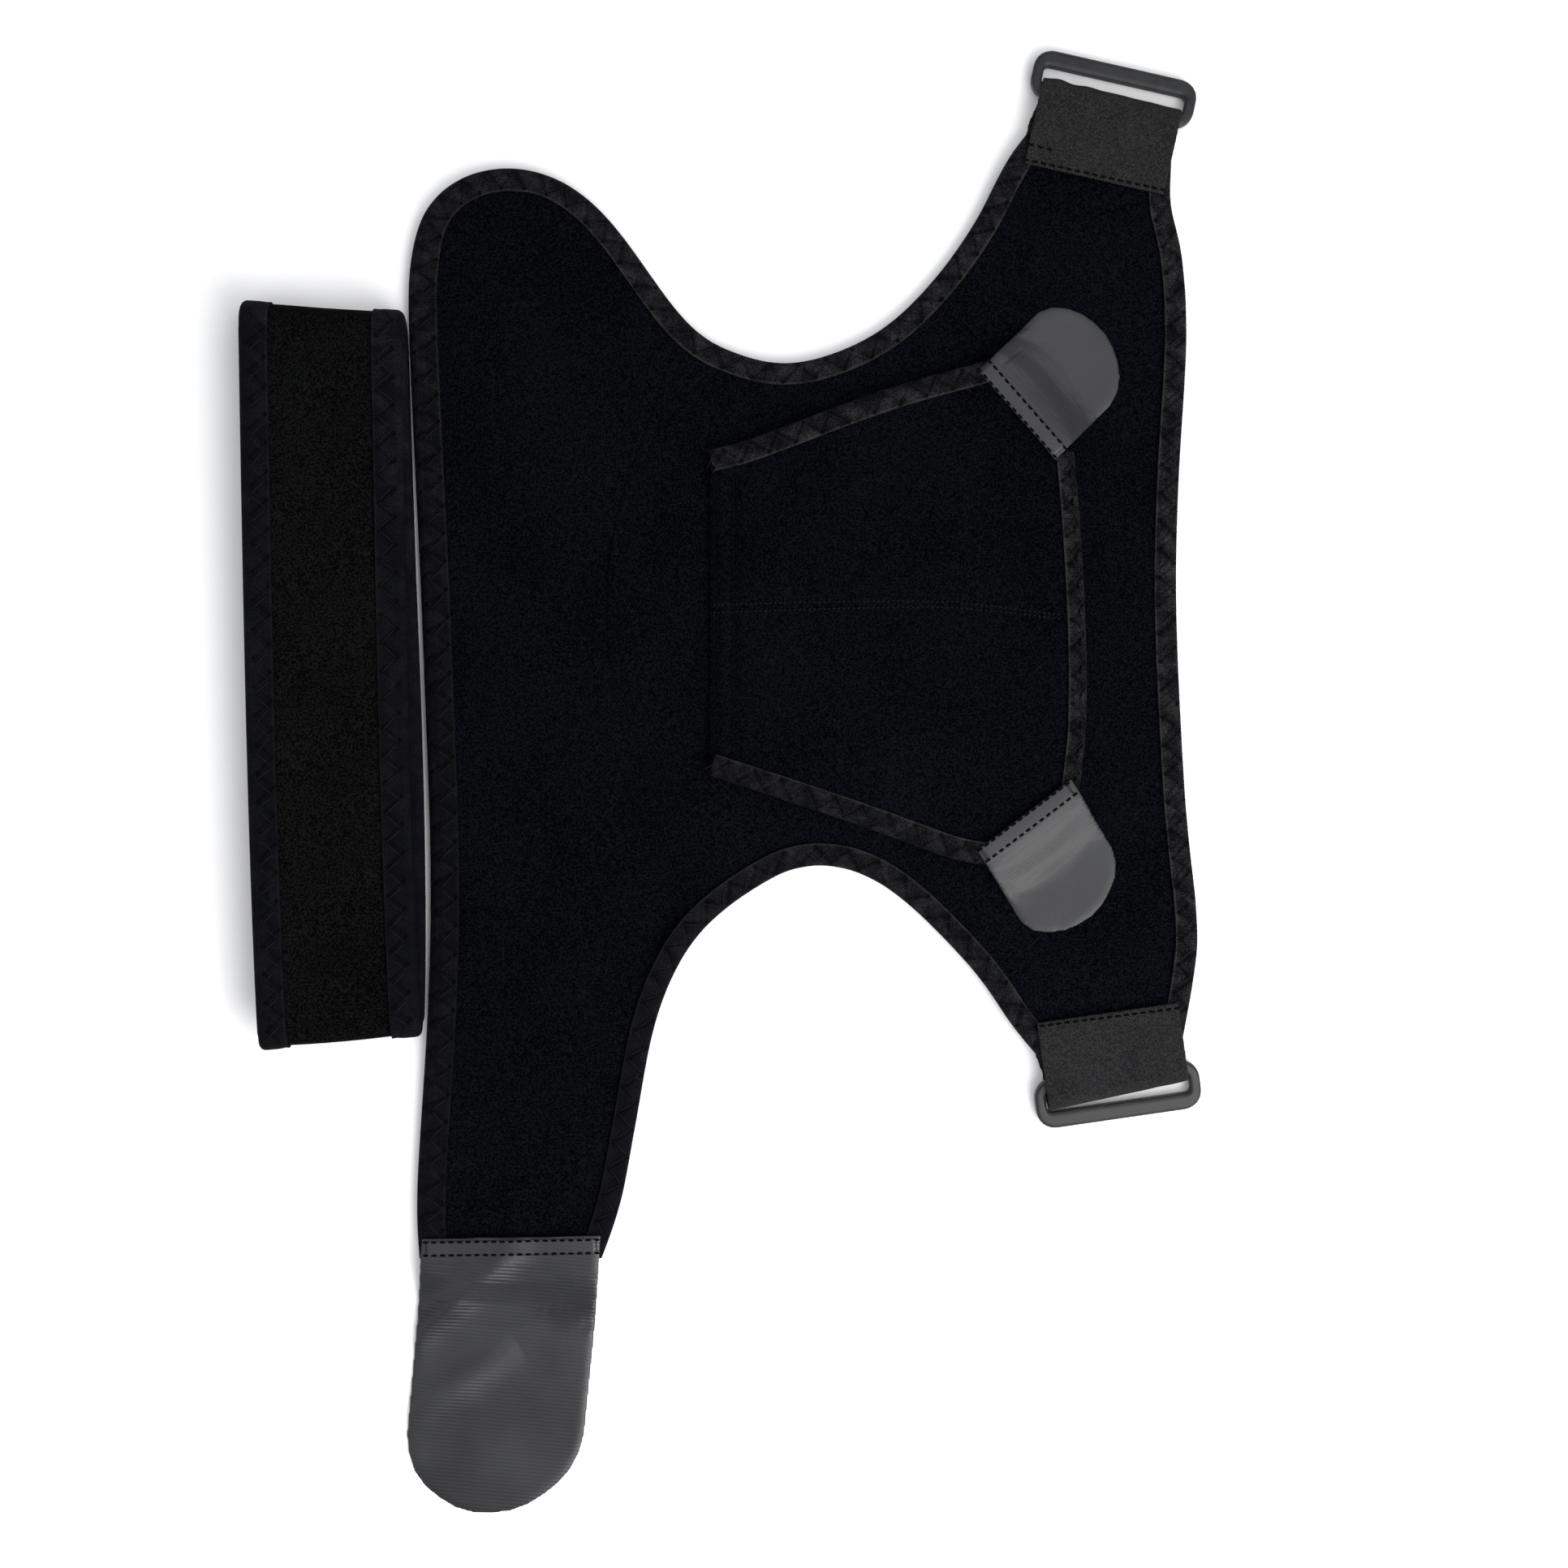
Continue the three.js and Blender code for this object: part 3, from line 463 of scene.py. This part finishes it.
def on_top(points, pieces, lift=0.0):
    """Plan points brought down from above onto the pieces."""
    graph = bpy.context.evaluated_depsgraph_get()
    trees = [BVHTree.FromObject(piece, graph) for piece in pieces]
    placed = []
    for x, y in points:
        hits = [tree.ray_cast(Vector((x, y, 1)), Vector((0, 0, -1)))[0] for tree in trees]
        heights = [hit.z for hit in hits if hit]
        if heights:
            placed.append((x, y, max(heights) + lift))
    return np.array(placed)


def across_pieces(corners, pieces, lift=0.0, step=0.002):
    """A line through plan corners, laid on the pieces."""
    flat = np.array([(x, y, 0.0) for x, y in corners])
    path, _ = evenly(flat, step)
    return on_top(path[:, :2], pieces, lift)


# The edge tape: woven tape folded over the raw edges and held by a zigzag of thread.
# Each run is swept along its solid's own outer edge; the needle holes are pressed in.
tape_reach = 0.008
tape_thick = 0.0009
tape_height = 0.0056
tape_step = 0.0012
tape_rounding = 24
hole_depth = 0.0005
hole_reach = 0.0014
pucker_height = 0.00022
pucker_shift = 0.8
weft_pitch = 0.00062
warp_pitch = 0.0009


def outer_edge(node):
    """The outer top edge of a folded tape, in order, with its outward side."""
    shape = merged(node)
    shape.verts.index_update()
    near, outward = {}, {}
    for edge in shape.edges:
        if len(edge.link_faces) != 2 or not edge.is_convex:
            continue
        wall, flat = sorted(edge.link_faces, key=lambda face: face.normal.z)
        heights = [vert.co.z for vert in wall.verts]
        tall = max(heights) - min(heights) > tape_height / 2
        if flat.normal.z > 0.9 and abs(wall.normal.z) < 0.3 and tall:
            one, other = edge.verts
            near.setdefault(one.index, []).append(other.index)
            near.setdefault(other.index, []).append(one.index)
            outward[one.index] = outward[other.index] = wall.normal.copy()
    shape.verts.ensure_lookup_table()
    at = next(i for i, others in near.items() if len(others) == 1)
    chain = [at]
    while True:
        ahead = [i for i in near[chain[-1]] if i not in chain[-2:]]
        if not ahead:
            break
        chain.append(ahead[0])
    points = np.array([shape.verts[i].co for i in chain])
    side = np.array(outward[chain[len(chain) // 2]])
    middle = len(chain) // 2
    ahead = points[middle + 1] - points[middle - 1]
    if np.cross(ahead, side)[2] < 0:
        points = points[::-1]
    shape.free()
    return without_ends(points)


def without_ends(points):
    """The path without the square ends of its tape."""
    for _ in range(2):
        first, second = points[1] - points[0], points[2] - points[1]
        if first @ second < 0.6 * np.linalg.norm(first) * np.linalg.norm(second):
            points = points[1:]
        points = points[::-1]
    return points


def evenly(points, step, softened=0):
    """The path with points an even step apart, its corners softened."""
    lengths = np.r_[0, np.cumsum(np.linalg.norm(np.diff(points, axis=0), axis=1))]
    count = max(2, round(lengths[-1] / step))
    where = np.linspace(0, lengths[-1], count + 1)
    path = np.stack([np.interp(where, lengths, points[:, axis]) for axis in range(3)], axis=1)
    for _ in range(softened):
        path[1:-1] = (path[:-2] + 2 * path[1:-1] + path[2:]) / 4
    return path, where


def inward_of(path):
    """The level direction to the path's right, at each of its points."""
    ahead = np.gradient(path, axis=0)
    right = np.stack([ahead[:, 1], -ahead[:, 0], np.zeros(len(path))], axis=1)
    return right / np.linalg.norm(right, axis=1, keepdims=True)


def swept(name, sections, along, across):
    """A closed body through a row of closed sections, with a UV map in metres."""
    rows, columns = sections.shape[:2]
    faces = [
        (i * columns + j, (i + 1) * columns + j, (i + 1) * columns + k, i * columns + k)
        for i in range(rows - 1)
        for j, k in zip(range(columns), [*range(1, columns), 0])
    ]
    faces.append(tuple(range(columns)))
    faces.append(tuple(range(rows * columns - 1, (rows - 1) * columns - 1, -1)))
    mesh = bpy.data.meshes.new(name)
    mesh.from_pydata(sections.reshape(-1, 3).tolist(), [], faces)
    shape = bmesh.new()
    shape.from_mesh(mesh)
    bmesh.ops.recalc_face_normals(shape, faces=shape.faces)
    shape.to_mesh(mesh)
    shape.free()
    places = np.stack(np.broadcast_arrays(along[:, None], across[None, :]), axis=-1).reshape(-1, 2)
    corner_of = np.empty(len(mesh.loops), np.int32)
    mesh.loops.foreach_get("vertex_index", corner_of)
    mesh.uv_layers.new(name="cloth").data.foreach_set("uv", places[corner_of].astype(np.float32).ravel())
    return link(bpy.data.objects.new(name, mesh))


def tape_profile(height, reach):
    """The folded tape's section: inward distance, depth below its top, and distance across."""
    fold = height / 2
    inner = fold - tape_thick
    turn = np.linspace(math.pi / 2, -math.pi / 2, 9)
    top = np.linspace(reach, fold, 9)[:-1]
    outside = [(x, 0) for x in top]
    outside += [(fold - fold * math.cos(a), fold - fold * math.sin(a)) for a in turn]
    outside += [(x, height) for x in np.linspace(fold, reach, 4)[1:]]
    inside = [(reach, height - tape_thick)]
    inside += [(fold - inner * math.cos(a), fold - inner * math.sin(a)) for a in -turn[::2]]
    inside += [(reach, tape_thick)]
    profile = np.array(outside + inside)
    steps = np.linalg.norm(np.diff(profile, axis=0), axis=1)
    return profile, np.r_[0, np.cumsum(steps)]


def from_holes(along, across):
    """Distance from the nearest needle hole of the zigzag."""
    nearest = np.full(np.broadcast(along, across).shape, 1.0)
    for row, shift in zip(zigzag_rows, (0, zigzag_period / 2)):
        step = (along + shift + zigzag_period / 2) % zigzag_period - zigzag_period / 2
        nearest = np.minimum(nearest, np.hypot(step, across - row))
    return nearest


def folded_tape(name, path, wide):
    """A tape folded over an edge, puckered by its stitches; gives the stitches' middle line too.

    Its wide says how much further over it reaches, up to where along it, and over what length
    that runs out."""
    path, along = evenly(path, tape_step, softened=tape_rounding)
    inward = inward_of(path)
    profile, across = tape_profile(tape_height, tape_reach)
    further, until, fade = wide
    extra = further * np.clip((until - along) / fade, 0, 1)
    past_fold = profile[:, 0] > tape_height / 2
    reached = profile[None, :, 0] + extra[:, None] * past_fold
    sections = path[:, None] + inward[:, None] * reached[..., None]
    sections[..., 2] -= profile[None, :, 1]
    near_top = profile[None, :, 1] <= tape_thick
    from_hole = from_holes(along[:, None], across[None, :])
    dents = hole_depth * np.exp(-((from_hole / hole_reach) ** 2))
    pucker = pucker_height * np.sin(along * 2 * math.pi / zigzag_period + pucker_shift)[:, None]
    lift = pucker * profile[None, :, 0] / tape_reach - dents
    sections[..., 2] += np.where(near_top, lift, 0)
    middle = path + inward * (tape_reach + extra - sum(zigzag_rows) / 2)[:, None]
    return swept(name, sections, along, across), middle


tape = Finish("edge_tape", {"Roughness": 0.9, "Specular IOR Level": 0.08})
tape_along, tape_across, _ = tape.along()
weft = tape_along.wave(weft_pitch)
warp = tape_across.wave(warp_pitch)
tape_place = tape.place()
tape_fuzz = tape.noise(tape_place, 0.0007)
tape_mottle = tape.noise(tape_place, 0.0055, 3.0)
selvage = tape_across.between(0.0009, 0.0005) * 0.15
tape_light = tape_mottle * 0.7 + tape_fuzz * 0.6 + weft * 0.05 + selvage
# Painted shade: the needle holes and the creases along the zigzag are painted nearly black for the shade
# that lies in them; the same masks also press them into the bump.
holes = []
for row, shift in zip(zigzag_rows, (0.0, zigzag_step)):
    step = (tape_along + shift).math("PINGPONG", zigzag_step)
    off = tape_across - row
    away = (step * step + off * off).math("SQRT")
    holes.append(away.between(0.0011, 0.0004))
hole_mask = holes[0].math("MAXIMUM", holes[1])
crossed = tape_along.math("PINGPONG", zigzag_step) * (1 / zigzag_step)
off_line = tape_across - zigzag_rows[0] - crossed * zigzag_width
waver = tape.noise(tape_place, 0.004, 1.0) * 0.0012
crease = (off_line.math("ABSOLUTE") + waver).between(0.0022, 0.0006)
# Painted light: the tape is painted darker towards the left and bottom of the brace, at the cuff and the
# strap, and paler towards the right and top, at the chest edge, standing in for the fall of the light
# across it.
tape_x, tape_y, _ = tape.parts(tape_place)
painted_light_sweep = (tape_x + tape_y * 0.6).between(-0.11, 0.12)
tape_painted_light = tape.mix(painted_light_sweep, (0.0062, 0.0062, 0.0074), (0.0300, 0.0297, 0.0302))
tape_colour = tape.mix(tape_light.between(1.0, 0.5), tape_painted_light, (0.0012, 0.0014, 0.0028))
# Painted shade, nearly black, in the needle holes and in the creases beside the zigzag.
crease_shade = crease * tape_mottle.between(0.7, 0.42) * 0.9
painted_hole_and_crease_shade = (hole_mask * 0.95).math("MAXIMUM", crease_shade)
tape.paint(base_color=tape.mix(painted_hole_and_crease_shade, tape_colour, (0.0006, 0.0006, 0.0008)))
tape.bump(weft * 0.2 + warp * 0.15 + tape_fuzz * 0.5 - hole_mask - crease * 1.2, 0.0005)

body_pieces = ["arm_cuff_panel", "shoulder_panel", "chest_panel"]
plain = (0.0, 0.0, 1.0)
for node, flat, wide, bound in (
    ("binding_cuff_and_neck", (0.0213, 0.648), (0.0023, 0.42, 0.07), body_pieces),
    ("binding_chest_edge", (0.0186, 0.309), plain, ["chest_panel"]),
    ("binding_armpit", (0.0186, 0.285), plain, body_pieces),
    ("flap_binding_top", (0.0186, 0.103), plain, ["flap_panel"]),
    ("flap_binding_side", (0.0158, 0.118), (-0.0014, 1.0, 0.1), ["flap_panel"]),
    ("flap_binding_bottom", (0.0186, 0.103), plain, ["flap_panel"]),
):
    name = node.replace("binding", "tape")
    run, middle = folded_tape(name, outer_edge(node), wide)
    dressed(run, tape, "edge_tape", node)
    stitching = zigzag(name + "_zigzag", middle)


# The flatlocked seams: the panels meet edge to edge under a flat, closely stitched band.
seam_width = 0.0034
seam_thick = 0.0011
seam_sunk = 0.32  # how far its middle lies below the panels' top corners, in thicknesses
seams = {
    "cuff_seam": ("arm_cuff_panel", "shoulder_panel"),
    "shoulder_seam": ("shoulder_panel", "chest_panel"),
}
ladder_step = 0.0016
ladder_length = seam_width * 0.95
ladder_wander = 0.25

seam_band = loop_knit("seam_band", (0.0004, 0.0005, 0.0009), (0.0042, 0.0047, 0.0070))


def top_corners(node):
    """The corners of a panel's solid that face up."""
    shape = merged(node)
    shape.normal_update()
    points = [vert.co.copy() for vert in shape.verts if vert.normal.z > 0]
    shape.free()
    return points


def seam_between(first, second):
    """The line where the top corners of two panels meet, from foot to head."""
    others = top_corners(second)
    tree = KDTree(len(others))
    for i, point in enumerate(others):
        tree.insert(point, i)
    tree.balance()
    pairs = [(point, tree.find(point)) for point in top_corners(first)]
    met = [(point + found[0]) / 2 for point, found in pairs if found[2] < 0.001]
    return np.array(sorted((tuple(point) for point in met), key=lambda point: point[1]))


def flat_band(name, path, width, thick):
    """A low rounded band along a path, its middle on the path."""
    path, along = evenly(path, 0.0015, softened=6)
    side = inward_of(path)
    turn = np.linspace(0, 2 * math.pi, 17)[:-1]
    across = np.sign(np.cos(turn)) * np.abs(np.cos(turn)) ** 0.6 * width / 2
    height = np.sign(np.sin(turn)) * np.abs(np.sin(turn)) ** 0.8 * thick / 2
    sections = path[:, None] + side[:, None] * across[None, :, None]
    sections[..., 2] += height[None, :]
    return swept(name, sections, along, across)


ladder = []
for name, (first, second) in seams.items():
    line = seam_between(first, second)
    band = flat_band(name, line - [0, 0, seam_thick * seam_sunk], seam_width, seam_thick)
    dressed(band, seam_band, "knit")
    ladder.append(evenly(line, 0.002)[0] + [0, 0, seam_thick * 0.2])
sizes = (ladder_step, ladder_length, thread_radius, math.pi / 2, ladder_wander)
sewn("seam_ladder", ladder, *sizes, finish=seam_band)


# The flap's stitching: two rows hold its raw left edge down, and a narrow double row crosses it.
flap = panels["flap_panel"]
row_lift = 0.0001
edge_stitch = {"step": 0.0026, "length": 0.0023, "radius": 0.00045}
edge_groove = {"depth": 0.0014, "width": 0.0018}
crossing_stitch = {"step": 0.0017, "length": 0.0012, "radius": 0.00028, "turn": 0.5}
crossing_groove = {"depth": 0.0004, "width": 0.0022}
edge_rows = [[(x, 0.0095), (x, 0.107)] for x in (-0.0034, 0.0034)]
crossing = [(-0.005, 0.0608), (0.0192, 0.0614), (0.0417, 0.0619), (0.0643, 0.0622), (0.0812, 0.0619)]
crossing += [(0.098, 0.0602), (0.117, 0.058)]
crossing_apart = np.linspace(0.0028, 0.0014, len(crossing))
valleys = (
    (((-0.0787, 0.0856), (-0.0432, 0.0785)), 0.0012, 0.008),
    (((-0.0927, -0.0412), (-0.0224, -0.0518)), 0.0022, 0.011),
)


def pressed(piece, corners, depth, width, fade=0.0):
    """Presses a groove, or with a negative depth a ridge, into a piece's top along plan corners.

    With a fade above 0 its depth runs out towards both ends."""
    path, _ = evenly(np.array([(x, y, 0.0) for x, y in corners]), 0.001)
    tree = KDTree(len(path))
    for i, point in enumerate(path):
        tree.insert(point, i)
    tree.balance()
    points = corners_of(piece)
    facing = np.clip(normals_of(piece)[:, 2], 0, 1)
    found = [tree.find((x, y, 0)) for x, y, _ in points]
    away = np.array([distance for _, _, distance in found])
    share = np.array([index for _, index, _ in found]) / (len(path) - 1)
    depths = depth * np.sin(math.pi * np.clip(share, 0, 1)) ** fade
    points[:, 2] -= depths * facing * np.exp(-((away / width) ** 2))
    move_corners(piece, points)


for corners, depth, width in valleys:
    pressed(panels["arm_cuff_panel"], corners, depth, width)
for row in edge_rows:
    pressed(flap, row, **edge_groove)
pressed(flap, crossing, **crossing_groove)
crossing_rows = [
    [(x, y + side * apart / 2) for (x, y), apart in zip(crossing, crossing_apart)] for side in (1, -1)
]
edge_lines = [across_pieces(row, [flap], row_lift) for row in edge_rows]
sewn("flap_edge_stitches", edge_lines, **edge_stitch, finish=black_thread)
crossing_lines = [across_pieces(row, [flap], row_lift) for row in crossing_rows]
sewn("flap_crossing_stitches", crossing_lines, **crossing_stitch)


# The hook tabs: satin-backed hook tape, hooks down, each with its end under a sewn strip.
# The cuff's tab is finely ribbed across; the flap's two tabs are smooth.
tab_voxel = 0.00055
tab_softening = 24
strip_width = 0.0056
strip_thick = 0.0006
strip_row_inset = 0.0005
strip_stitch = {"step": 0.0029, "length": 0.0022, "radius": 0.00042}
rib_pitch = 0.0013
tab_relief = 0.00012
tab_dark = (0.0080, 0.0082, 0.0095)
tab_light = (0.019, 0.0195, 0.0215)


def satin(name, ribbed, turn=0.0):
    """The satin back of hook tape, softly dented, ribbed across or smooth."""
    finish = Finish(name, {"Specular IOR Level": 0.45})
    place = finish.place(turn)
    cloudy = finish.noise(place, 0.03)
    grain = finish.noise(place, 0.0005)
    shade = cloudy * 0.8 + grain * 0.25
    dents = finish.noise(place, 0.02, 1.0) * 3
    _, run, _ = finish.parts(place)
    ribs = run.wave(rib_pitch) * (0.25 if ribbed else 0.0)
    height = dents + grain * 0.3 + ribs
    finish.paint(base_color=finish.mix(shade.between(0.3, 0.8), tab_dark, tab_light))
    finish.paint(roughness=cloudy * 0.15 + (0.3 if ribbed else 0.42))
    finish.bump(height, tab_relief)
    return finish


tab_finishes = {
    "ribbed": satin("ribbed_satin", True, turn=math.radians(5)),
    "smooth": satin("smooth_satin", False),
}
cuff_folds = (
    (((-0.1180, -0.2030), (-0.0680, -0.1600)), -0.0028, 0.0052),
    (((-0.1180, -0.2260), (-0.0720, -0.1990)), -0.0019, 0.0060),
    (((-0.1500, -0.1880), (0.0050, -0.1845)), -0.0007, 0.0075),
)
upper_folds = ((((0.0965, 0.1450), (0.1050, 0.1525)), 0.0005, 0.0006),)
cuff_cut = {"flat": (0.0624, 0.099), "area": 0.00583, "rests_on": ["table_top"]}
flap_cut = {"flat": (0.0435, 0.043), "area": 0.00168, "rests_on": ["chest_panel"]}
tabs = (
    ("cuff_hook_tab", "ribbed", ((-0.1043, -0.1634), (-0.0423, -0.1624)), cuff_folds, cuff_cut),
    ("flap_hook_tab_upper", "smooth", ((0.0912, 0.1454), (0.1187, 0.1137)), upper_folds, flap_cut),
    ("flap_hook_tab_lower", "smooth", ((0.0910, -0.0252), (0.1230, -0.0010)), (), flap_cut),
)
for node, kind, strip_ends, folds, cut in tabs:
    tab = remeshed(node, node.replace("hook_tab", "satin_tab"), tab_voxel)
    softened(tab, tab_softening)
    for corners, depth, width in folds:
        pressed(tab, corners, depth, width, fade=1.0)
    dressed(tab, tab_finishes[kind], "hook_tab", node)
    line = across_pieces(strip_ends, [tab], strip_thick * 0.3)
    strip = flat_band(node + "_strip", line, strip_width, strip_thick)
    dressed(strip, tab_finishes[kind], "hook_tab")
    path, _ = evenly(line, 0.002)
    side = inward_of(path) * (strip_width / 2 - strip_row_inset)
    rows = [path + sign * side + [0, 0, strip_thick * 0.5] for sign in (1, -1)]
    name = node + "_stitches"
    stitching = sewn(name, rows, **strip_stitch, finish=black_thread, slot_name="hook_tab")


# The webbing: 50 mm woven tape folded round each ring's bar and sewn above and below the padding.
webbing_voxel = 0.00055
webbing_turns = {"upper": math.radians(12.8), "lower": math.radians(-8.2)}
webbing_cuts = {"upper": (0.05, 0.068), "lower": (0.05, 0.0645)}
webbing_bars = {"upper": (0.135756, 0.237612), "lower": (0.137774, -0.103027)}
webbing_sides = {"upper": np.array([0.221548, 0.975149]), "lower": np.array([0.142629, -0.989776])}
webbing_stitch = {"step": 0.0029, "length": 0.0022, "radius": 0.00044}
rib_width = 0.0011
pick_width = 0.0008
webbing_relief = 0.0004
fold_waves = {"upper": 0.0005, "lower": 0.0001}
fold_pitch = 0.011
lower_ply_out = 0.0014
webbing_rows = {
    "upper": [((0.1062, 0.2179), (0.1559, 0.2070)), ((0.1078, 0.2232), (0.1142, 0.2216))],
    "lower": [((0.1116, -0.0850), (0.1608, -0.0787))],
}


def webbing_weave(name, turn):
    """Heavy webbing: warp ribs along it, crossed by finer picks."""
    finish = Finish(name, {"Roughness": 0.85, "Specular IOR Level": 0.12})
    place = finish.place(turn)
    over, run, _ = finish.parts(place)
    weave = over.wave(rib_width) * run.wave(pick_width)
    grain = finish.noise(place, 0.0007)
    mottle = finish.noise(place, 0.012)
    shade = grain * 0.9 + mottle * 0.15 + weave * 0.2
    dark, light = (0.005, 0.005, 0.0055), (0.036, 0.036, 0.037)
    finish.paint(base_color=finish.mix(shade.between(0.3, 0.8), dark, light))
    finish.bump(weave * 0.6 + grain * 0.4, webbing_relief)
    return finish


def ruffled(loop, bar, side, wave_height):
    """Waves the loop's fold a little, and lets its lower ply stand out at the left."""
    points = corners_of(loop)
    offset = points[:, :2] - bar
    across, out = offset @ (side[1], -side[0]), offset @ side
    near_fold = np.exp(-(((out - 0.003) / 0.006) ** 2))
    wave = np.sin(across * 2 * math.pi / fold_pitch) * np.clip(-across / 0.02, 0.1, 0.8)
    low = np.clip((0.003 - points[:, 2]) / 0.002, 0, 1)
    past_fold = np.clip((-0.004 - out) / 0.006, 0, 1)
    points[:, :2] += np.outer(near_fold * wave * wave_height, side)
    points[:, 0] -= low * past_fold * lower_ply_out
    move_corners(loop, points)


for side, turn in webbing_turns.items():
    loop = remeshed(f"webbing_loop_{side}", f"webbing_{side}", webbing_voxel)
    ruffled(loop, webbing_bars[side], webbing_sides[side], fold_waves[side])
    dressed(loop, webbing_weave(f"webbing_weave_{side}", turn), "webbing", f"webbing_loop_{side}")
    rows = [across_pieces(row, [loop], row_lift) for row in webbing_rows[side]]
    name = f"webbing_{side}_stitches"
    stitching = sewn(name, rows, **webbing_stitch, finish=black_thread, slot_name="webbing")
    cut, ring = webbing_cuts[side], f"ring_{side}"


# The rings: moulded plastic, rounded all over, with a finely grained face.
ring_voxel = 0.00032
ring_rounding = 3
ring_relief = 0.00003
moulded = Finish("moulded_plastic", {"Specular IOR Level": 0.33})
ring_place = moulded.place()
ring_grain = moulded.noise(ring_place, 0.0004, 1.0)
ring_cloud = moulded.noise(ring_place, 0.006)
ring_shade = ring_cloud.between(0.3, 0.7)
moulded.paint(base_color=moulded.mix(ring_shade, (0.010, 0.0105, 0.0115), (0.018, 0.0185, 0.0195)))
moulded.paint(roughness=ring_cloud * 0.2 + 0.4)
moulded.bump(ring_grain, ring_relief)
for node in ("ring_upper", "ring_lower"):
    ring = remeshed(node, "moulded_" + node, ring_voxel)
    ring.modifiers.new("round", "SMOOTH").iterations = ring_rounding
    dressed(evaluated(ring, "moulded_" + node), moulded, "ring", node, body=node)


# The chest strap: a padded knit band with taped edges, folded in four beside the cuff.
# Its layers follow one line of straight runs and round folds, the free ends tucked inside.
strap_origin = (-0.13253, -0.09060)
strap_heading = math.radians(91.585)
strap_width = 0.0565
strap_fold = 0.2575
strap_thick = 0.002
strap_tail = 0.045
strap_pitch = 0.005
strap_half = 0.0023
strap_skew = {"head": 0.0026, "foot": 0.0017}
strap_bows = (0.012, 0.012, 0.045, -0.022)
strap_bow_power = math.log(0.5) / math.log(0.37)
strap_tape_reach = 0.0103
strap_tape_room = 0.0004
strap_band_inset = 0.0016
strap_step = 0.0016
fold_stations = 17
puff_height = 0.00045
ripple_height = 0.00018
ripple_turns = 210
strap_top = strap_fold - strap_half - 1.5 * strap_pitch
strap_foot = strap_half + strap_pitch / 2


def strap_line():
    """Rows of distance along the strap's length, height, turn in degrees and sideways bow."""
    rows = []

    def run(layer, start, end):
        count = round(abs(end - start) / strap_step)
        height, turn = strap_half + layer * strap_pitch, 90 if start < end else -90
        for place in np.linspace(start, end, count + 1)[1:-1]:
            rows.append((place, height, turn, strap_bows[layer]))

    def fold(place, low, high, start, end):
        middle, radius = strap_half + (low + high) / 2 * strap_pitch, (high - low) / 2 * strap_pitch
        outward = 180 if end > start else 0
        for turn in np.linspace(start, end, fold_stations):
            angle = math.radians(turn)
            ahead, up = radius * math.cos(angle), radius * math.sin(angle)
            rows.append((place + ahead, middle + up, turn + outward, 0))

    run(0, strap_tail, strap_top)
    fold(strap_top, 0, 3, -90, 90)
    run(3, strap_top, strap_foot)
    fold(strap_foot, 2, 3, 90, 270)
    run(2, strap_foot, strap_top)
    fold(strap_top, 1, 2, 90, -90)
    run(1, strap_top, strap_tail)
    return np.array(rows)


strap_rows = strap_line()
strap_along = np.r_[0, np.cumsum(np.hypot(*np.diff(strap_rows[:, :2], axis=0).T))]


def strap_places(across, out):
    """Points beside and out from the strap's middle line, one row for each of its stations."""
    length, height, turn, bow = strap_rows.T[:, :, None]
    angle = np.radians(turn)
    place = length + out * np.cos(angle)
    bow_share = np.clip(length / strap_fold, 0, 1) ** strap_bow_power
    side = across + bow * strap_width * np.sin(math.pi * bow_share)
    share = place / strap_fold
    skew = strap_skew["foot"] - (strap_skew["foot"] + strap_skew["head"]) * share
    ahead = place + skew * across / (strap_width / 2)
    forward = (math.cos(strap_heading), math.sin(strap_heading))
    x = strap_origin[0] + side * forward[1] + ahead * forward[0]
    y = strap_origin[1] - side * forward[0] + ahead * forward[1]
    return np.stack(np.broadcast_arrays(x, y, height + out * np.sin(angle)), axis=-1)


strap_knit = loop_knit("strap_knit", (0.0005, 0.0005, 0.0005), (0.0060, 0.0062, 0.0062))
band_half = strap_width / 2 - strap_band_inset
crown = np.linspace(-1, 1, 25)
puff = puff_height * (1 - crown**4)
ripple = ripple_height * np.sin(strap_along[:, None] * ripple_turns + 3 * crown[None, :])
over = strap_thick / 2 + puff[None, :] + ripple
under = -strap_thick / 2 - puff[None, ::-1] + ripple[:, ::-1]
band_across = np.r_[crown, crown[::-1]] * band_half
band_out = np.concatenate([over, under], axis=1)
band = swept("strap_padding", strap_places(band_across[None, :], band_out), strap_along, band_across)
dressed(band, strap_knit, "knit", "chest_strap_band")

strap_tape_height = strap_thick + 2 * (strap_tape_room + tape_thick)
profile, strap_across = tape_profile(strap_tape_height, strap_tape_reach)
from_hole = from_holes(strap_along[:, None], strap_across[None, :])
dents = hole_depth * np.exp(-((from_hole / hole_reach) ** 2))
surface = profile[:, 1] <= 0
top_layer = (strap_rows[:, 2] == -90) & (strap_rows[:, 1] > strap_half + 2.5 * strap_pitch)
for side, name in ((-1, "left"), (1, "right")):
    out = profile[None, :, 1] - strap_tape_height / 2 + np.where(surface, dents, 0)
    places = strap_places(side * (strap_width / 2 - profile[None, :, 0]), out)
    run = swept(f"strap_tape_{name}", places, strap_along, strap_across)
    dressed(run, tape, "edge_tape", f"chest_strap_binding_{name}")
    middle = side * (strap_width / 2 - strap_tape_reach + sum(zigzag_rows) / 2)
    line = strap_places(np.array([[middle]]), np.array([[-strap_tape_height / 2]]))[:, 0]
    stitching = zigzag(f"strap_zigzag_{name}", line[top_layer])
for node in ("strap_hook_end_first", "strap_hook_end_last"):
    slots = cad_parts[node].data.materials
    slots.clear()
    slots.append(tab_finishes["smooth"].material)
